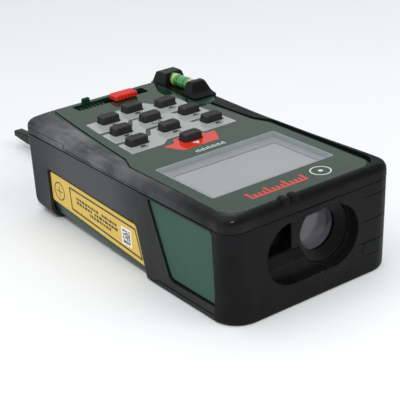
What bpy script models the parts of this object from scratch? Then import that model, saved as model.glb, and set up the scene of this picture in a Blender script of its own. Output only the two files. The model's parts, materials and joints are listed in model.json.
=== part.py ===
"""Laser distance meter: a hand-held meter built as separate solids.

All sizes below are millimetres; MM turns them into metres when a mesh is made.
Frame: +Z up, the optics look along -Y, -X is the side that carries the label.
The origin lies on the flat underside, in the middle of the body.
"""
import math

import bmesh
import bpy
from mathutils import Matrix, Vector

MM = 0.001
GAP = 0.3                      # clearance between neighbouring pieces

# Body
FRONT = -52.0                  # front face of the body
REAR = 52.0                    # rear edge of the top
RUBBER_REAR = 53.0             # rear face of the rubber corners
HALF_WIDTH = 29.0              # outside of the rubber, front and middle
REAR_HALF_WIDTH = 28.9
FRONT_CORNER = 5.2             # upright corners of the rubber
REAR_CORNER = 2.0
CORE_HALF_WIDTH = 27.6         # outside of the plastic housings
CORE_FRONT = -48.4
CORE_REAR = 50.5
CORNER = 3.6                   # upright corners of the housings
TONGUE_HALF_WIDTH = 18.8       # rear tongue that shows between the rubber corners
TONGUE_REAR = 51.8
WALL = 1.8

# Heights
SPLIT = 26.4                   # top of the lower housing
RUBBER_SPLIT = 26.9            # top of the side grips
DECK_BOTTOM = 27.96
DECK_TOP = 29.16
FASCIA_TOP = 30.66
FASCIA_THICKNESS = 1.2
BUMPER_TOP = 31.35
RISE = 1.7                     # how much the top lifts towards the rear
RISE_FROM = -10.0

# Display
DISPLAY_X = 21.4
DISPLAY_FRONT = -36.0
DISPLAY_REAR = -9.0

# Keys: name -> (x, y)
KEY_SIZE = (6.4, 4.0)
KEY_PROUD = 2.2
KEYS = {"key_measure": (0.0, 3.3)}
KEYS.update({f"key_middle_{n + 1}": (0.0, y) for n, y in enumerate((35.0, 24.7, 14.4))})
for _n, (_x, _y) in enumerate(((10.7, 31.9), (12.7, 21.75), (13.8, 11.4))):
    KEYS[f"key_left_{_n + 1}"] = (-_x, _y)
    KEYS[f"key_right_{_n + 1}"] = (_x, _y)

# Optics
LENS_AXIS = (5.2, 17.0)        # x, z of the receiving lens
LASER_AXIS = (-11.6, 20.6)     # x, z of the laser

# Positioning pin
PIN_X = -4.3
PIN_AXIS_Y = 48.0
PIN_AXIS_Z = 3.6
PIN_TIP = 110.0
PIN_BAR_Z = 4.8
PIN_WIDTH = 3.4
GROOVE_HALF = 2.5              # half width of the groove that takes the pin
GROOVE_TOP = 6.9
GROOVE_FRONT = -15.2

# Battery compartment
COVER_X = 21.3
COVER_FRONT = 1.5
COVER_REAR = 45.0
CELL_RADIUS = 5.25
CELL_LENGTH = 43.7             # without the nub
CELL_Z = 14.0
CELL_FIRST_Y = 7.3
CELL_PITCH = 10.8
NUB_X = 24.0                   # how far from the middle a cell's nub ends
NUB_LENGTH = 0.8

# Spirit level
LEVEL_X = 24.2
LEVEL_TOP = 36.0
LEVEL_FRONT = 28.1
LEVEL_REAR = 53.4
VIAL_Z = 33.6
VIAL_RADIUS = 2.1

# Lock slider of the pin
SLIDER_X = (-0.3, 8.2)
SLIDER_Y = (43.6, 48.2)

# name: (colour, roughness, metallic)
PAINTS = {
    "green_plastic": ((0.010, 0.035, 0.024), 0.45, 0.0),
    "panel_green": ((0.020, 0.075, 0.055), 0.50, 0.0),
    "fascia_gloss": ((0.060, 0.085, 0.072), 0.15, 0.0),
    "black_rubber": ((0.030, 0.030, 0.033), 0.70, 0.0),
    "black_plastic": ((0.010, 0.010, 0.011), 0.40, 0.0),
    "key_rubber": ((0.018, 0.019, 0.018), 0.60, 0.0),
    "red_plastic": ((0.75, 0.035, 0.015), 0.35, 0.0),
    "clear_window": ((0.55, 0.58, 0.60), 0.05, 0.0),
    "lcd_grey": ((0.38, 0.42, 0.43), 0.30, 0.0),
    "bezel_grey": ((0.22, 0.26, 0.29), 0.40, 0.0),
    "label_yellow": ((0.85, 0.55, 0.08), 0.45, 0.0),
    "label_silver": ((0.55, 0.55, 0.55), 0.45, 0.0),
    "lens_glass": ((0.50, 0.52, 0.58), 0.03, 0.0),
    "vial_green": ((0.12, 0.60, 0.12), 0.05, 0.0),
    "anodised": ((0.04, 0.04, 0.045), 0.35, 1.0),
    "brass": ((0.75, 0.55, 0.22), 0.30, 1.0),
    "steel": ((0.60, 0.60, 0.62), 0.30, 1.0),
    "circuit_board": ((0.02, 0.16, 0.06), 0.45, 0.0),
    "silicone": ((0.20, 0.20, 0.21), 0.70, 0.0),
    "cell_sleeve": ((0.05, 0.06, 0.08), 0.30, 0.0),
    "polyimide": ((0.60, 0.30, 0.06), 0.35, 0.0),
}

# Planes that a flat outline can be drawn in: its own x, y and thickness axes
PLANES = {
    "XY": Matrix.Identity(4),
    "YZ": Matrix(((0, 0, 1, 0), (1, 0, 0, 0), (0, 1, 0, 0), (0, 0, 0, 1))),
    "XZ": Matrix(((1, 0, 0, 0), (0, 0, -1, 0), (0, 1, 0, 0), (0, 0, 0, 1))),
}


# ---------------------------------------------------------------- helpers

def clear_scene():
    for obj in list(bpy.data.objects):
        bpy.data.objects.remove(obj, do_unlink=True)


def make_collection(name):
    collection = bpy.data.collections.new(name)
    bpy.context.scene.collection.children.link(collection)
    return collection


def paint(name):
    if name in bpy.data.materials:
        return bpy.data.materials[name]
    colour, roughness, metallic = PAINTS[name]
    material = bpy.data.materials.new(name)
    material.use_nodes = True
    shader = material.node_tree.nodes["Principled BSDF"]
    shader.inputs["Base Color"].default_value = (*colour, 1.0)
    shader.inputs["Roughness"].default_value = roughness
    shader.inputs["Metallic"].default_value = metallic
    material.diffuse_color = (*colour, 1.0)
    return material


def place(name, mesh, material="black_plastic"):
    """Put a mesh in the meter's collection as one named sub-part."""
    obj = bpy.data.objects.new(name, mesh)
    mesh.materials.clear()
    mesh.materials.append(paint(material))
    METER.objects.link(obj)
    return obj


def from_bmesh(name, bm, material="black_plastic"):
    bmesh.ops.recalc_face_normals(bm, faces=bm.faces)
    mesh = bpy.data.meshes.new(name)
    bm.to_mesh(mesh)
    bm.free()
    return place(name, mesh, material)


def bake(obj):
    """Replace the object's mesh by what its modifiers make of it."""
    graph = bpy.context.evaluated_depsgraph_get()
    mesh = bpy.data.meshes.new_from_object(obj.evaluated_get(graph))
    obj.modifiers.clear()
    obj.data = mesh


def combine(target, tool, operation):
    modifier = target.modifiers.new(operation.lower(), "BOOLEAN")
    modifier.object = tool
    modifier.operation = operation
    modifier.solver = "EXACT"
    bake(target)
    bpy.data.objects.remove(tool, do_unlink=True)
    return target


def cut(target, tool):
    return combine(target, tool, "DIFFERENCE")


def join(target, tool):
    return combine(target, tool, "UNION")


def bevel(obj, width, segments=1, angle=50):
    modifier = obj.modifiers.new("bevel", "BEVEL")
    modifier.width = width * MM
    modifier.segments = segments
    modifier.limit_method = "ANGLE"
    modifier.angle_limit = math.radians(angle)
    modifier.use_clamp_overlap = True
    bake(obj)
    return obj


def smooth(obj, angle=35):
    obj.data.shade_smooth()
    obj.data.set_sharp_from_angle(angle=math.radians(angle))
    return obj


def box(name, x, y, z, material="black_plastic"):
    """Box between two limits on each axis."""
    bm = bmesh.new()
    size = Matrix.Diagonal(((x[1] - x[0]) * MM, (y[1] - y[0]) * MM, (z[1] - z[0]) * MM, 1.0))
    middle = Vector(((x[0] + x[1]) / 2, (y[0] + y[1]) / 2, (z[0] + z[1]) / 2)) * MM
    bmesh.ops.create_cube(bm, size=1.0, matrix=Matrix.Translation(middle) @ size)
    return from_bmesh(name, bm, material)


def rod(name, centre, axis, radius, ends, material="black_plastic", segments=24, top_radius=None):
    """Cylinder or cone along X, Y or Z between two limits; centre gives the other two places."""
    bm = bmesh.new()
    length = (ends[1] - ends[0]) * MM
    bmesh.ops.create_cone(bm, cap_ends=True, segments=segments, radius1=radius * MM,
                          radius2=(radius if top_radius is None else top_radius) * MM, depth=length)
    turn = {"X": Matrix.Rotation(math.pi / 2, 4, "Y"),
            "Y": Matrix.Rotation(-math.pi / 2, 4, "X"),
            "Z": Matrix.Identity(4)}[axis]
    middle = (ends[0] + ends[1]) / 2
    where = {"X": (middle, centre[0], centre[1]),
             "Y": (centre[0], middle, centre[1]),
             "Z": (centre[0], centre[1], middle)}[axis]
    bm.transform(Matrix.Translation(Vector(where) * MM) @ turn)
    return smooth(from_bmesh(name, bm, material))


def fillet(corners, step=30):
    """Closed outline through corners (x, y, radius), each corner rounded with an arc."""
    points = []
    for i, (x, y, radius) in enumerate(corners):
        here = Vector((x, y))
        if radius == 0:
            points.append(here)
            continue
        back = (Vector(corners[i - 1][:2]) - here).normalized()
        ahead = (Vector(corners[(i + 1) % len(corners)][:2]) - here).normalized()
        half = back.angle(ahead) / 2
        centre = here + (back + ahead).normalized() * (radius / math.sin(half))
        start = here + back * (radius / math.tan(half)) - centre
        end = here + ahead * (radius / math.tan(half)) - centre
        first = math.atan2(start.y, start.x)
        sweep = (math.atan2(end.y, end.x) - first + math.pi) % (2 * math.pi) - math.pi
        count = max(1, math.ceil(abs(math.degrees(sweep)) / step - 0.01))
        for k in range(count + 1):
            angle = first + sweep * k / count
            points.append(centre + radius * Vector((math.cos(angle), math.sin(angle))))
    return points


def rectangle(x, y, radius=0.0):
    return [(x[0], y[0], radius), (x[1], y[0], radius), (x[1], y[1], radius), (x[0], y[1], radius)]


def slab(name, outlines, limits, plane="XY", material="black_plastic", step=30):
    """Flat piece from filled outlines; every outline after the first is a hole."""
    curve = bpy.data.curves.new(name, "CURVE")
    curve.dimensions = "2D"
    curve.fill_mode = "BOTH"
    curve.extrude = (limits[1] - limits[0]) / 2 * MM
    for corners in outlines:
        points = fillet(corners, step)
        spline = curve.splines.new("POLY")
        spline.points.add(len(points) - 1)
        for target, point in zip(spline.points, points):
            target.co = (point.x * MM, point.y * MM, 0.0, 1.0)
        spline.use_cyclic_u = True
    guide = bpy.data.objects.new(name, curve)
    METER.objects.link(guide)
    guide.matrix_world = PLANES[plane] @ Matrix.Translation((0, 0, (limits[0] + limits[1]) / 2 * MM))
    bpy.context.view_layer.update()
    graph = bpy.context.evaluated_depsgraph_get()
    mesh = bpy.data.meshes.new_from_object(guide.evaluated_get(graph))
    mesh.transform(guide.matrix_world)
    bpy.data.objects.remove(guide, do_unlink=True)
    bpy.data.curves.remove(curve)
    bm = bmesh.new()
    bm.from_mesh(mesh)
    bmesh.ops.remove_doubles(bm, verts=bm.verts, dist=0.00001)
    bmesh.ops.dissolve_limit(bm, angle_limit=0.01, verts=bm.verts, edges=bm.edges)
    bpy.data.meshes.remove(mesh)
    return from_bmesh(name, bm, material)


def loft(name, sections, material="black_plastic"):
    """Solid through sections (y, outline), each outline a ring of x, z points of equal count."""
    bm = bmesh.new()
    rings = [[bm.verts.new(Vector((x, y, z)) * MM) for x, z in outline] for y, outline in sections]
    for near, far in zip(rings, rings[1:]):
        for i in range(len(near)):
            j = (i + 1) % len(near)
            bm.faces.new((near[i], near[j], far[j], far[i]))
    bm.faces.new(rings[0])
    bm.faces.new(rings[-1])
    return from_bmesh(name, bm, material)


def tub(half_width, radius, bottom, top):
    """Cross-section with rounded lower corners."""
    corners = [(-half_width, top, 0), (-half_width, bottom, radius),
               (half_width, bottom, radius), (half_width, top, 0)]
    return [tuple(point) for point in fillet(corners, 30)]


def rise(y):
    """Extra height of the top at y."""
    return RISE * (max(0.0, y - RISE_FROM) / (REAR - RISE_FROM)) ** 2


def bow(obj, low=-1e3, high=1e3):
    """Lift the points between two heights along the curve of the top."""
    bm = bmesh.new()
    bm.from_mesh(obj.data)
    for y in (-10, 5, 18, 30, 41):
        everything = list(bm.verts) + list(bm.edges) + list(bm.faces)
        bmesh.ops.bisect_plane(bm, geom=everything, dist=1e-6,
                               plane_co=(0, y * MM, 0), plane_no=(0, 1, 0))
    for vertex in bm.verts:
        if low < vertex.co.z / MM < high:
            vertex.co.z += rise(vertex.co.y / MM) * MM
    bmesh.ops.triangulate(bm, faces=[face for face in bm.faces if len(face.verts) > 4])
    bm.to_mesh(obj.data)
    bm.free()
    return obj


def body_outline(grow=0.0):
    """Plan of the whole body."""
    return [(-HALF_WIDTH - grow, FRONT - grow, FRONT_CORNER), (HALF_WIDTH + grow, FRONT - grow, FRONT_CORNER),
            (HALF_WIDTH + grow, 0, 0), (REAR_HALF_WIDTH + grow, RUBBER_REAR + grow, REAR_CORNER),
            (-REAR_HALF_WIDTH - grow, RUBBER_REAR + grow, REAR_CORNER), (-HALF_WIDTH - grow, 0, 0)]


def core_outline(grow=0.0):
    """Plan of the plastic housings, with the rear tongue."""
    side = CORE_HALF_WIDTH + grow
    tongue = TONGUE_HALF_WIDTH + grow
    return [(-side, CORE_FRONT - grow, CORNER), (side, CORE_FRONT - grow, CORNER),
            (side, CORE_REAR + grow, CORNER), (tongue, CORE_REAR + grow, 0),
            (tongue, TONGUE_REAR + grow, 0), (-tongue, TONGUE_REAR + grow, 0),
            (-tongue, CORE_REAR + grow, 0), (-side, CORE_REAR + grow, CORNER)]


def fascia_outline(grow=0.0, rear=50.2):
    """Plan of the face plate: narrow at the rear, a jog, then wide to the front."""
    half = [(25.2 + grow, -48.0 - grow, 5.0 + grow), (25.2 + grow, -2.4, 1.0),
            (23.0 + grow, 3.2, 1.0), (19.2 + grow, rear, 0)]
    left = [(-x, y, radius) for x, y, radius in reversed(half)]
    return half + left


# ---------------------------------------------------------------- housings

def core_stations(grow=0.0):
    """Places along Y of the lower housing: y, half width, radius of the lower edge."""
    front = [(CORE_FRONT - grow + CORNER * (1 - math.sin(math.radians(angle))),
              CORE_HALF_WIDTH + grow - CORNER * (1 - math.cos(math.radians(angle))), 1.0)
             for angle in (90, 60, 30, 0)]
    rear = [(CORE_REAR + grow - CORNER * (1 - math.sin(math.radians(angle))),
             CORE_HALF_WIDTH + grow - CORNER * (1 - math.cos(math.radians(angle))), 5.8)
            for angle in (0, 30, 60, 90)]
    side = CORE_HALF_WIDTH + grow
    return front + [(-15.0, side, 1.0), (12.0, side, 3.2), (40.0, side, 5.8)] + rear


def lower_housing():
    shell = loft("lower_housing", [(y, tub(w, r, 0.0, SPLIT)) for y, w, r in core_stations()],
                 "green_plastic")
    tongue = box("tongue", (-TONGUE_HALF_WIDTH, TONGUE_HALF_WIDTH), (CORE_REAR - 1, TONGUE_REAR),
                 (0.0, SPLIT))
    join(shell, bevel(tongue, 0.6))
    inside = CORE_HALF_WIDTH - WALL
    hollow = ((CORE_FRONT + WALL, 0.6), (-15.0, 0.6), (12.0, 2.2), (40.0, 4.6), (CORE_REAR - 1.6, 4.6))
    cut(shell, loft("hollow", [(y, tub(inside, r, WALL, SPLIT + 5)) for y, r in hollow]))
    for x, y, radius in screw_places():
        join(shell, rod("post", (x, y), "Z", radius, (1.0, SPLIT - 0.4), segments=16))
    join(shell, rod("boss", (0.0, -28.0), "Z", 5.6, (1.0, 6.0)))
    join(shell, box("spine", (PIN_X - 4.6, PIN_X + 3.6), (GROOVE_FRONT - 1.2, COVER_FRONT - 0.4),
                    (1.0, GROOVE_TOP + 1.0)))
    join(shell, box("pin_block", (PIN_X - 4.8, PIN_X + 5.2), (COVER_REAR + 0.4, TONGUE_REAR - 0.6),
                    (1.0, GROOVE_TOP + 1.0)))
    groove = (PIN_X - GROOVE_HALF, PIN_X + GROOVE_HALF)
    cut(shell, box("cover_hole", (-COVER_X - GAP, COVER_X + GAP),
                   (COVER_FRONT - GAP, COVER_REAR + GAP), (-1.0, WALL + 0.4)))
    cut(shell, box("front_groove", groove, (GROOVE_FRONT, COVER_FRONT), (-1.0, GROOVE_TOP)))
    cut(shell, box("rear_groove", groove, (COVER_REAR, REAR + 2), (-1.0, GROOVE_TOP)))
    cut(shell, box("catch_slot", (PIN_X - 1.3, PIN_X + 6.5), (46.3, 49.7), (GROOVE_TOP - 0.7, 9.0)))
    cut(shell, rod("axle_hole", (PIN_AXIS_Y, PIN_AXIS_Z), "X", 1.1, (PIN_X - 4.4, PIN_X + 4.8),
                   segments=16))
    for x, y, radius in screw_places():
        cut(shell, rod("screw_hole", (x, y), "Z", 1.25, (-1.0, 30.0), segments=12))
        cut(shell, rod("screw_head_hole", (x, y), "Z", 2.0, (-1.0, 3.0), segments=12))
    cut(shell, rod("insert_hole", (0.0, -28.0), "Z", 4.1, (-1.0, 7.0)))
    cut(shell, box("optics_hole", (-18.2, 16.2), (CORE_FRONT - 1, CORE_FRONT + WALL + 0.6),
                   (6.8, SPLIT + 1)))
    return shell


def screw_places():
    return [(side * x, y, radius) for x, y, radius in ((22.3, -42.5, 2.6), (22.0, 48.0, 2.3))
            for side in (-1, 1)]


def key_hole(x, y, margin):
    return rectangle((x - KEY_SIZE[0] / 2 - margin, x + KEY_SIZE[0] / 2 + margin),
                     (y - KEY_SIZE[1] / 2 - margin, y + KEY_SIZE[1] / 2 + margin), 0.9)


def slot_hole(margin):
    return rectangle((-13.4 - margin, 13.4 + margin), (45.1 - margin, 49.6 + margin), 0.8)


def upper_housing():
    holes = [key_hole(x, y, 0.45) for x, y in KEYS.values()]
    holes.append(slot_hole(0.0))
    holes.append(rectangle((-DISPLAY_X - 1.0, DISPLAY_X + 1.0),
                           (DISPLAY_FRONT - 0.8, DISPLAY_REAR + 0.8), 0.8))
    deck = slab("upper_housing", [core_outline()] + holes, (DECK_BOTTOM, DECK_TOP),
                material="green_plastic")
    inside = CORE_HALF_WIDTH - 1.6
    skirt = slab("skirt", [core_outline(),
                           rectangle((-inside, inside), (CORE_FRONT + 1.6, CORE_REAR - 1.6), 2.0)],
                 (SPLIT + GAP, DECK_BOTTOM + 0.2))
    join(deck, skirt)
    rim = slab("rim", [fascia_outline(0.9, 51.8), fascia_outline(0.3, 50.5)],
               (DECK_TOP - 0.2, FASCIA_TOP - 0.25))
    join(deck, rim)
    for y in (44.9, 28.2):
        join(deck, rod("level_pad", (22.3, y), "Z", 4.6, (DECK_TOP - 0.2, FASCIA_TOP - 0.1)))
    cut(deck, box("level_seat", (19.6, 40.0), (LEVEL_FRONT - GAP, 60.0), (DECK_TOP, 40.0)))
    join(deck, box("spring_stop", (14.3, 15.5), (46.0, 48.4), (23.9, DECK_BOTTOM + 0.2)))
    sight = box("rear_sight", (-8.8, -5.8), (50.5, TONGUE_REAR), (DECK_TOP, FASCIA_TOP + 1.2))
    join(deck, bevel(sight, 0.4))
    for x, y, radius in screw_places():
        boss = rod("boss", (x, y), "Z", radius, (SPLIT + GAP, DECK_BOTTOM + 0.2), segments=16)
        cut(boss, rod("pilot", (x, y), "Z", 1.25, (26.0, 27.6), segments=12))
        join(deck, boss)
    return bow(deck, low=DECK_BOTTOM - 0.5)


def top_bumper():
    """Rubber rim on three sides of the face plate, open at the rear."""
    rim = slab("top_bumper", [body_outline()], (RUBBER_SPLIT + GAP, BUMPER_TOP),
               material="black_rubber", step=18)
    bevel(rim, 1.0, 2)
    cut(rim, slab("core", [core_outline(GAP)], (0.0, DECK_TOP + GAP)))
    opening = fascia_outline(1.2, REAR + 4)
    cut(rim, slab("opening", [opening], (0.0, 40.0)))
    cut(rim, box("level_seat", (15.0, 35.0), (LEVEL_FRONT - GAP, 60.0), (DECK_TOP, 40.0)))
    cut(rim, rod("pad_gap", (22.3, 28.2), "Z", 4.9, (DECK_TOP, 40.0)))
    cut(rim, box("rear_gap", (-TONGUE_HALF_WIDTH - 0.4, TONGUE_HALF_WIDTH + 0.4), (49.0, 60.0),
                 (0.0, 40.0)))
    for x in (-8.6, -6.1):
        join(rim, rod("front_sight", (x, -50.3), "Z", 1.0, (BUMPER_TOP - 1.0, BUMPER_TOP + 0.7),
                      segments=16, top_radius=0.6))
    return bow(rim, low=DECK_TOP - 1.0)


def rubber_shell(name):
    """The rubber skin of the lower body before its openings are cut."""
    stations = [(-44.6, HALF_WIDTH, 0.8), (-14.0, HALF_WIDTH, 0.8), (0.0, HALF_WIDTH, 2.0),
                (41.0, 28.95, 4.5)]
    for angle in (0, 30, 60, 90):
        y = RUBBER_REAR - REAR_CORNER * (1 - math.sin(math.radians(angle)))
        width = REAR_HALF_WIDTH - REAR_CORNER * (1 - math.cos(math.radians(angle)))
        stations.append((y, width, 5.5))
    skin = loft(name, [(y, tub(w, r, 0.0, RUBBER_SPLIT)) for y, w, r in stations], "black_rubber")
    core = loft("core", [(y, tub(w, r, -0.6, 30.0)) for y, w, r in core_stations(GAP)])
    return cut(skin, core)


def panel_outline(grow=0.0):
    """Green side panel, seen from the side: y, z."""
    return [(-44.3 - grow, 5.2 - grow, 0.6), (-24.6 + grow, 5.2 - grow, 2.5),
            (-16.0 + 1.3 * grow, 26.1 + grow, 0.6), (-44.3 - grow, 26.1 + grow, 0.6)]


def label_recess():
    """Opening in the side grip behind the label, open at the bottom: y, z."""
    return [(-13.2, -3.0, 0), (41.6, -3.0, 0), (41.2, 18.3, 1.0), (-8.2, 16.8, 2.0)]


def side_grip(side, name):
    skin = rubber_shell(name)
    left = side < 0
    keep = (-60.0, 19.2) if left else (-19.2, 60.0)
    cut(skin, box("other_half", (-keep[1], -keep[0]) if left else (-60.0, 19.2), (-60, 60), (-5, 40)))
    reach = (-40.0, -20.0) if left else (20.0, 40.0)
    cut(skin, slab("recess", [label_recess()], reach, plane="YZ"))
    cut(skin, slab("panel_hole", [panel_outline(0.3)], reach, plane="YZ"))
    return smooth(skin, 25)


def side_panel(side, name):
    limits = (-28.5, -27.9) if side < 0 else (27.9, 28.5)
    return slab(name, [panel_outline()], limits, plane="YZ", material="panel_green")


def side_label(side, name, material):
    corners = [(-11.1, 3.0, 0.6), (40.6, 7.6, 0.6), (40.4, 17.2, 0.6), (-7.6, 15.6, 1.6)]
    limits = (-28.15, -27.9) if side < 0 else (27.9, 28.15)
    return slab(name, [corners], limits, plane="YZ", material=material)


def front_cap():
    """Black front moulding with the oblong optics recess."""
    stations = []
    for angle in (0, 30, 60, 90):
        y = FRONT + FRONT_CORNER * (1 - math.sin(math.radians(angle)))
        width = HALF_WIDTH - FRONT_CORNER * (1 - math.cos(math.radians(angle)))
        stations.append((y, width))
    stations.insert(0, (-44.9, HALF_WIDTH))
    cap = loft("front_cap", [(y, tub(w, 1.6, 0.0, RUBBER_SPLIT + 0.2)) for y, w in stations])
    cut(cap, slab("core", [core_outline(GAP)], (-1.0, 40.0)))
    recess = rectangle((-17.0, 15.0), (7.2, 26.0), 8.5)
    cut(cap, slab("recess", [recess], (-FRONT - 2.6, -FRONT + 3.0), plane="XZ", step=18))
    cut(cap, rod("lens_hole", LENS_AXIS, "Y", 8.8, (FRONT - 1, CORE_FRONT + 1), segments=32))
    laser = rectangle((-15.8, -6.4), (15.6, 25.0), 3.0)
    cut(cap, slab("laser_hole", [laser], (40.0, -FRONT + 1.0), plane="XZ"))
    return smooth(cap, 25)


# ---------------------------------------------------------------- top face

def fascia():
    holes = [key_hole(x, y, 0.25) for x, y in KEYS.values()]
    holes.append(slot_hole(0.0))
    holes.append(rectangle((-DISPLAY_X, DISPLAY_X), (DISPLAY_FRONT, DISPLAY_REAR), 0.8))
    plate = slab("fascia", [fascia_outline()] + holes,
                 (FASCIA_TOP - FASCIA_THICKNESS, FASCIA_TOP), material="fascia_gloss")
    for y in (44.9, 28.2):
        cut(plate, rod("pad_hole", (22.3, y), "Z", 4.9, (20.0, 40.0)))
    cut(plate, box("level_edge", (19.5, 40.0), (LEVEL_FRONT - GAP, 60.0), (20.0, 40.0)))
    return bow(plate)


def display_stack():
    edge = 0.3
    slab("display_window", [rectangle((-DISPLAY_X + edge, DISPLAY_X - edge),
                                      (DISPLAY_FRONT + edge, DISPLAY_REAR - edge), 0.6)],
         (FASCIA_TOP - FASCIA_THICKNESS, FASCIA_TOP), material="clear_window")
    slab("display_bezel", [rectangle((-22.0, 22.0), (DISPLAY_FRONT - 0.4, DISPLAY_REAR + 0.4), 0.8),
                           rectangle((-18.8, 18.8), (-32.8, -11.6), 0.4)],
         (DECK_BOTTOM, DECK_TOP), material="bezel_grey")
    lcd = box("lcd_module", (-23.0, 23.0), (-37.6, -7.6), (25.7, 27.6), "lcd_grey")
    bevel(lcd, 0.3)


def keys():
    for name, (x, y) in KEYS.items():
        top = FASCIA_TOP + KEY_PROUD + rise(y)
        low = 26.9 + rise(y)
        half_x = KEY_SIZE[0] / 2
        half_y = KEY_SIZE[1] / 2
        cap = slab(name, [rectangle((x - half_x, x + half_x), (y - half_y, y + half_y), 0.9)],
                   (low, top), material="key_rubber", step=45)
        bevel(cap, 0.35)
        join(cap, box("flange", (x - half_x - 0.6, x + half_x + 0.6),
                      (y - half_y - 0.6, y + half_y + 0.6), (low - 0.1, low + 0.6)))
        move_origin(cap, (x, y, low))


def move_origin(obj, point):
    """Put the object's origin at a point without moving its mesh."""
    shift = Vector(point) * MM
    obj.data.transform(Matrix.Translation(-shift))
    obj.location = shift


def spirit_level():
    """Holder on the right rear edge, with the vial between its two blocks."""
    x = (19.9, 28.3)
    base = box("level_holder", x, (LEVEL_FRONT, LEVEL_REAR), (DECK_TOP + 0.35, 31.9), "black_plastic")
    rear_block = [(44.6, 30.5, 0), (LEVEL_REAR, 30.5, 0), (51.0, LEVEL_TOP, 1.0), (45.4, LEVEL_TOP, 1.0)]
    front_block = [(LEVEL_FRONT, 30.5, 0), (35.5, 30.5, 0), (34.7, LEVEL_TOP, 1.0),
                   (31.6, LEVEL_TOP, 1.0), (30.2, 32.8, 0.8), (LEVEL_FRONT, 31.7, 0)]
    for corners in (rear_block, front_block):
        join(base, slab("block", [corners], (x[0], x[1]), plane="YZ"))
    for side, edge in ((-1, x[0]), (1, x[1])):
        taper = [(edge, 31.6, 0), (edge + side * 3, 31.6, 0), (edge + side * 3, 40.0, 0),
                 (edge - side * 1.7, 40.0, 0)]
        cut(base, slab("taper", [taper], (-60.0, -20.0), plane="XZ"))
    bow(base, high=31.0)
    cut(base, rod("vial_hole", (LEVEL_X, VIAL_Z), "Y", VIAL_RADIUS + GAP, (32.6, 47.6)))
    rod("level_vial", (LEVEL_X, VIAL_Z), "Y", VIAL_RADIUS, (32.9, 47.3), "vial_green")


# ---------------------------------------------------------------- pin and its lock

def positioning_pin():
    low = PIN_BAR_Z - PIN_WIDTH / 2
    high = PIN_BAR_Z + PIN_WIDTH / 2
    side = [(PIN_AXIS_Y, low, 0), (PIN_TIP - 9.0, low, 0), (PIN_TIP, PIN_BAR_Z - 1.1, 0.4),
            (PIN_TIP, PIN_BAR_Z + 1.1, 0.4), (PIN_TIP - 9.0, high, 0), (PIN_AXIS_Y, high, 0)]
    half = PIN_WIDTH / 2
    pin = slab("positioning_pin", [side], (PIN_X - half, PIN_X + half), plane="YZ",
               material="black_plastic")
    bevel(pin, 0.3, angle=60)
    barrel = rod("barrel", (PIN_AXIS_Y, PIN_AXIS_Z), "X", 2.2, (PIN_X - 2.1, PIN_X + 2.1))
    join(pin, barrel)
    cut(pin, rod("bore", (PIN_AXIS_Y, PIN_AXIS_Z), "X", 1.05, (PIN_X - 5, PIN_X + 5), segments=16))
    move_origin(pin, (PIN_X, PIN_AXIS_Y, PIN_AXIS_Z))
    rod("pin_axle", (PIN_AXIS_Y, PIN_AXIS_Z), "X", 0.8, (PIN_X - 4.1, PIN_X + 4.5), "steel", 16)


def pin_lock():
    top = FASCIA_TOP + rise(46.0)
    slider = slab("lock_slider", [rectangle(SLIDER_X, SLIDER_Y, 0.6)], (top + 0.3, top + 1.9),
                  material="red_plastic", step=45)
    bevel(slider, 0.3)
    for n in range(5):
        x = SLIDER_X[0] + 1.45 + n * 1.4
        cut(slider, box("groove", (x - 0.25, x + 0.25), (SLIDER_Y[0] - 1, SLIDER_Y[1] + 1),
                        (top + 1.55, top + 3.0)))
    join(slider, box("stem", (1.6, 6.4), (45.7, 47.6), (29.7, top + 0.8)))
    bar = box("lock_bar", (1.8, 6.2), (46.4, 48.0), (8.5, 29.4), "black_plastic")
    join(bar, box("foot", (PIN_X - 0.9, 6.2), (47.2, 48.8), (8.3, 9.6)))
    join(bar, box("tooth", (PIN_X - 0.9, PIN_X + 0.9), (47.2, 48.8), (6.85, 9.0)))
    spring()


def spring():
    """Return spring of the lock, a coil along X."""
    turns = 5
    per_turn = 10
    start = 6.6                # just clear of the lock bar
    length = 7.4
    curve = bpy.data.curves.new("lock_spring", "CURVE")
    curve.dimensions = "3D"
    curve.bevel_depth = 0.18 * MM
    curve.bevel_resolution = 1
    curve.use_fill_caps = True
    spline = curve.splines.new("POLY")
    spline.points.add(turns * per_turn)
    for k, point in enumerate(spline.points):
        angle = 2 * math.pi * k / per_turn
        x = start + length * k / (turns * per_turn)
        point.co = (x * MM, (47.2 + 1.1 * math.cos(angle)) * MM,
                    (25.5 + 1.1 * math.sin(angle)) * MM, 1.0)
    guide = bpy.data.objects.new("guide", curve)
    METER.objects.link(guide)
    bpy.context.view_layer.update()
    graph = bpy.context.evaluated_depsgraph_get()
    mesh = bpy.data.meshes.new_from_object(guide.evaluated_get(graph))
    bpy.data.objects.remove(guide, do_unlink=True)
    bm = bmesh.new()
    bm.from_mesh(mesh)
    bmesh.ops.remove_doubles(bm, verts=bm.verts, dist=0.000005)
    smooth(from_bmesh("lock_spring", bm, "steel"), 60)


# ---------------------------------------------------------------- batteries

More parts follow.
